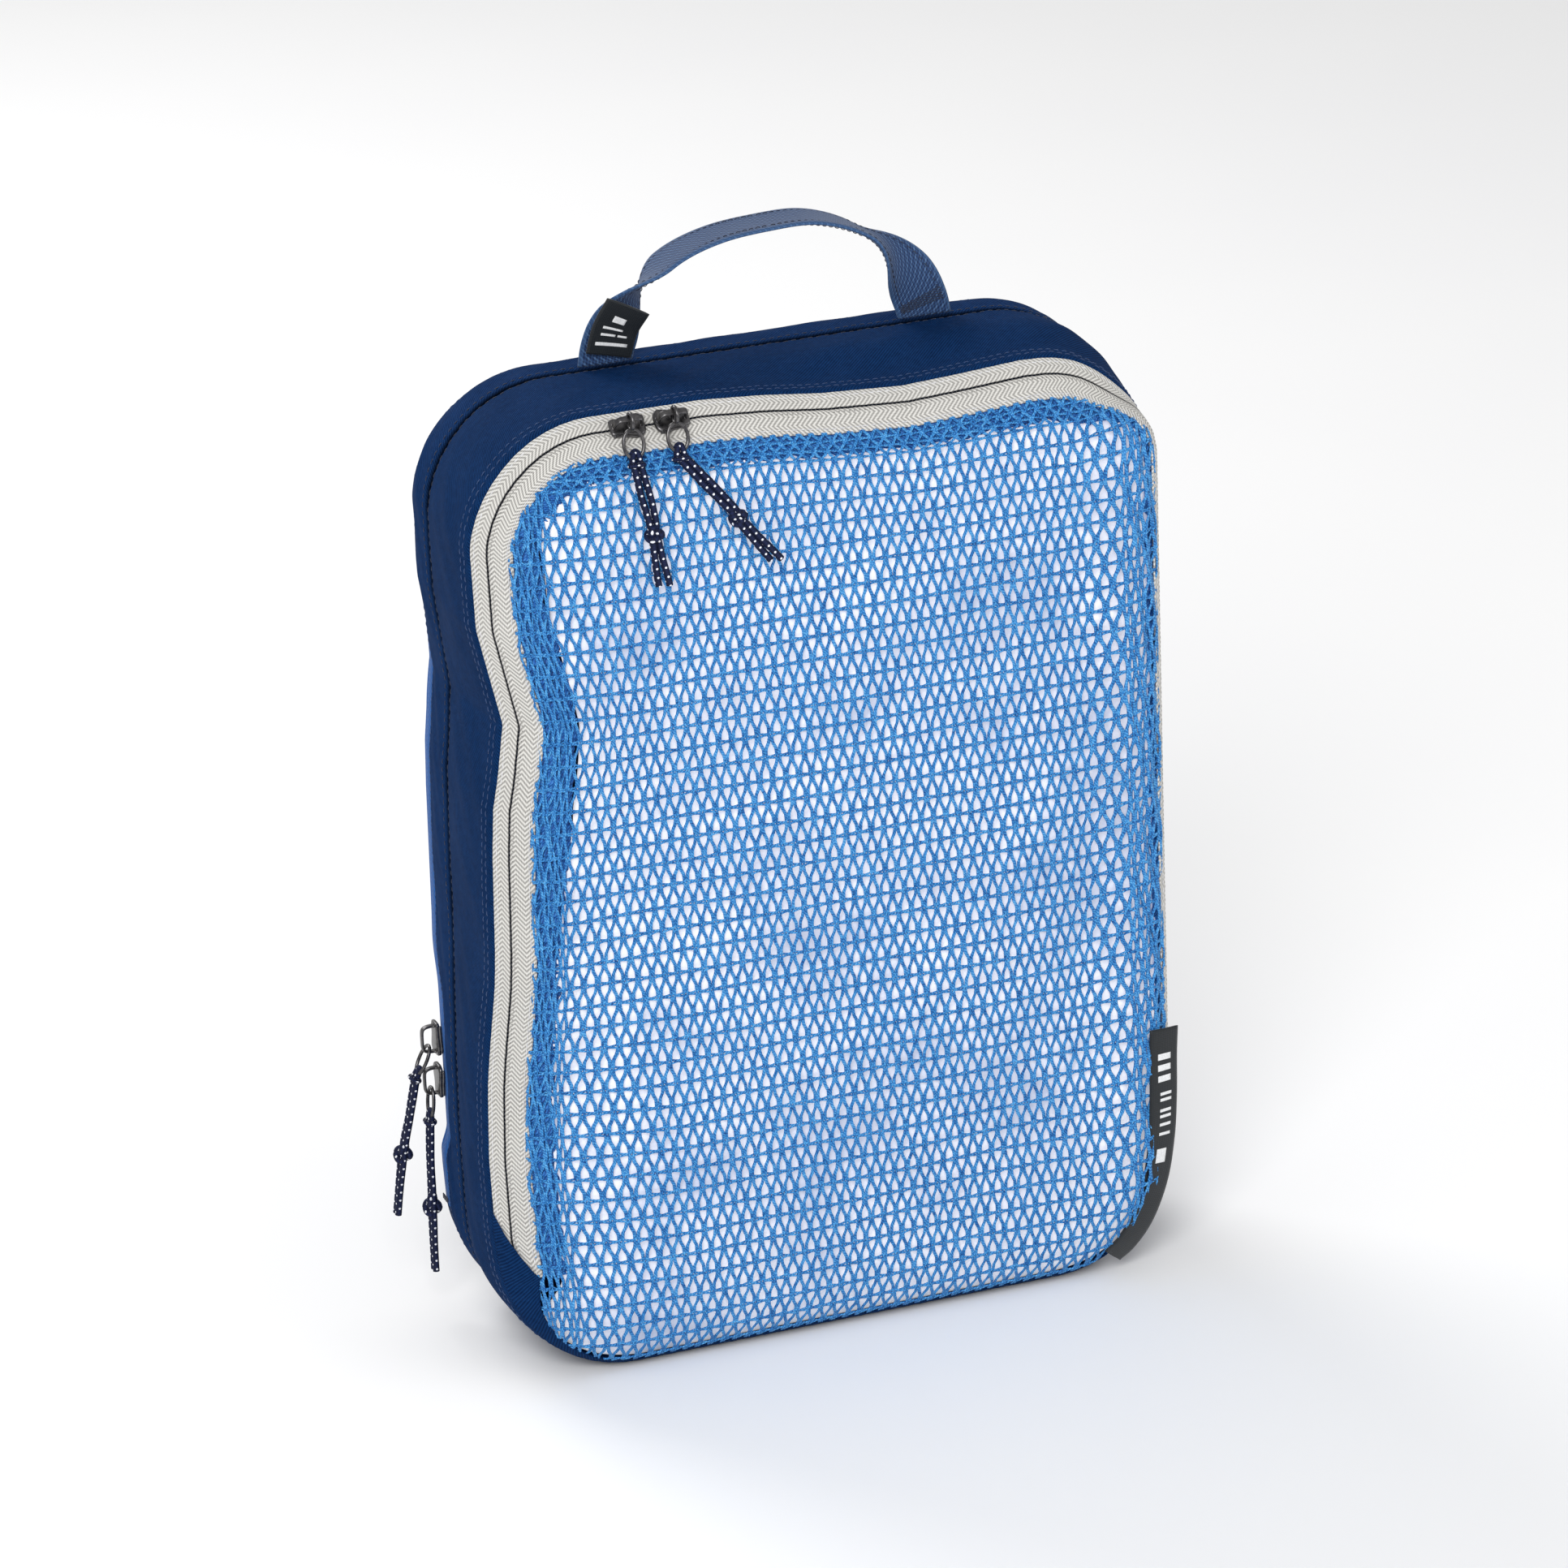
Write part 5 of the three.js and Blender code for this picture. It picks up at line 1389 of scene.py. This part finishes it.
def closed_tube(P, r, sides=12, ref=(0, 1, 0)):
    """Tube round a closed loop of points."""
    P = np.asarray(P, float)
    n_ = len(P)
    T_ = np.roll(P, -1, 0) - np.roll(P, 1, 0)
    T_ /= np.linalg.norm(T_, axis=1, keepdims=True)
    ref = np.broadcast_to(np.asarray(ref, float), T_.shape)
    N_ = ref - np.sum(ref * T_, 1, keepdims=True) * T_
    N_ /= np.linalg.norm(N_, axis=1, keepdims=True)
    Bn = np.cross(T_, N_)
    an = np.linspace(0, 2 * np.pi, sides, endpoint=False)
    V = P[:, None] + r * (np.cos(an)[None, :, None] * N_[:, None] + np.sin(an)[None, :, None] * Bn[:, None])
    i = np.arange(n_)[:, None] * sides
    i2 = ((np.arange(n_) + 1) % n_)[:, None] * sides
    j = np.arange(sides)[None]
    q = np.stack([i + j, i2 + j, i2 + (j + 1) % sides, i + (j + 1) % sides], -1).reshape(-1, 4)
    return V.reshape(-1, 3), q, None


def wire_loop(half, wide, n_=64):
    t = np.linspace(0, 2 * np.pi, n_, endpoint=False)
    return np.stack([wide * np.sign(np.cos(t)) * np.abs(np.cos(t)) ** 0.9, 0 * t, half * np.sin(t)], 1)


def rot_x(P, q):
    c_, s_ = math.cos(q), math.sin(q)
    return P @ np.array([[1, 0, 0], [0, c_, s_], [0, -s_, c_]])


for nm, sx, dr, tail in FRONT:
    V = placed(SV, (sx, SLIDE_Y, SLIDE_Z), (dr, 0, 0), (0, -math.sqrt(0.5), math.sqrt(0.5)))
    own(make(f"{nm}_slider_metal", V, SF, M_METAL, warp=False), f"{nm}_slider_body", [f"{nm}_slider"])
    lp = wire_loop(4.9, 3.6) + np.array([0, 0, -8.7])
    ey = wire_loop(2.8, 2.8)
    ey = np.stack([0 * ey[:, 0], ey[:, 0], ey[:, 2] - 1.0], 1)
    parts = []
    for L_, rf in ((lp, (0, 1, 0)), (ey, (1, 0, 0))):
        Q = rot_x(L_, -LEAN)
        rfv = rot_x(np.array([rf], float), -LEAN)[0]
        parts.append(closed_tube(Q + np.array([sx, BAR_Y, BAR_Z]), 0.66, 12, ref=rfv))
    V, F, fb = join(parts)
    own(make(f"{nm}_wire_pull", V, F, M_METAL, warp=False), f"{nm}_pull", [f"{nm}_puller"])

for nm, z_, dr, lean, pts in REAR:
    V = placed(SV, (-W / 2, 26.3, z_), (0, 0, dr), (-1, 0, 0))
    own(make(f"{nm}_slider_metal", V, SF, M_METAL, warp=False), f"{nm}_slider_body", [f"{nm}_slider"])
    lp = wire_loop(5.6, 3.6)
    lp = np.stack([0 * lp[:, 0], lp[:, 0], lp[:, 2] - 5.6], 1)
    c_, s_ = math.cos(lean), math.sin(lean)
    Q = np.stack([lp[:, 0] * c_ + lp[:, 2] * s_, lp[:, 1], -lp[:, 0] * s_ + lp[:, 2] * c_], 1)
    V, F, fb = closed_tube(Q + np.array([-W / 2 - 4.6, 26.3, z_ - 2.7]), 0.66, 12, ref=(c_, 0, -s_))
    own(make(f"{nm}_wire_pull", V, F, M_METAL, warp=False), f"{nm}_pull", [f"{nm}_puller"])
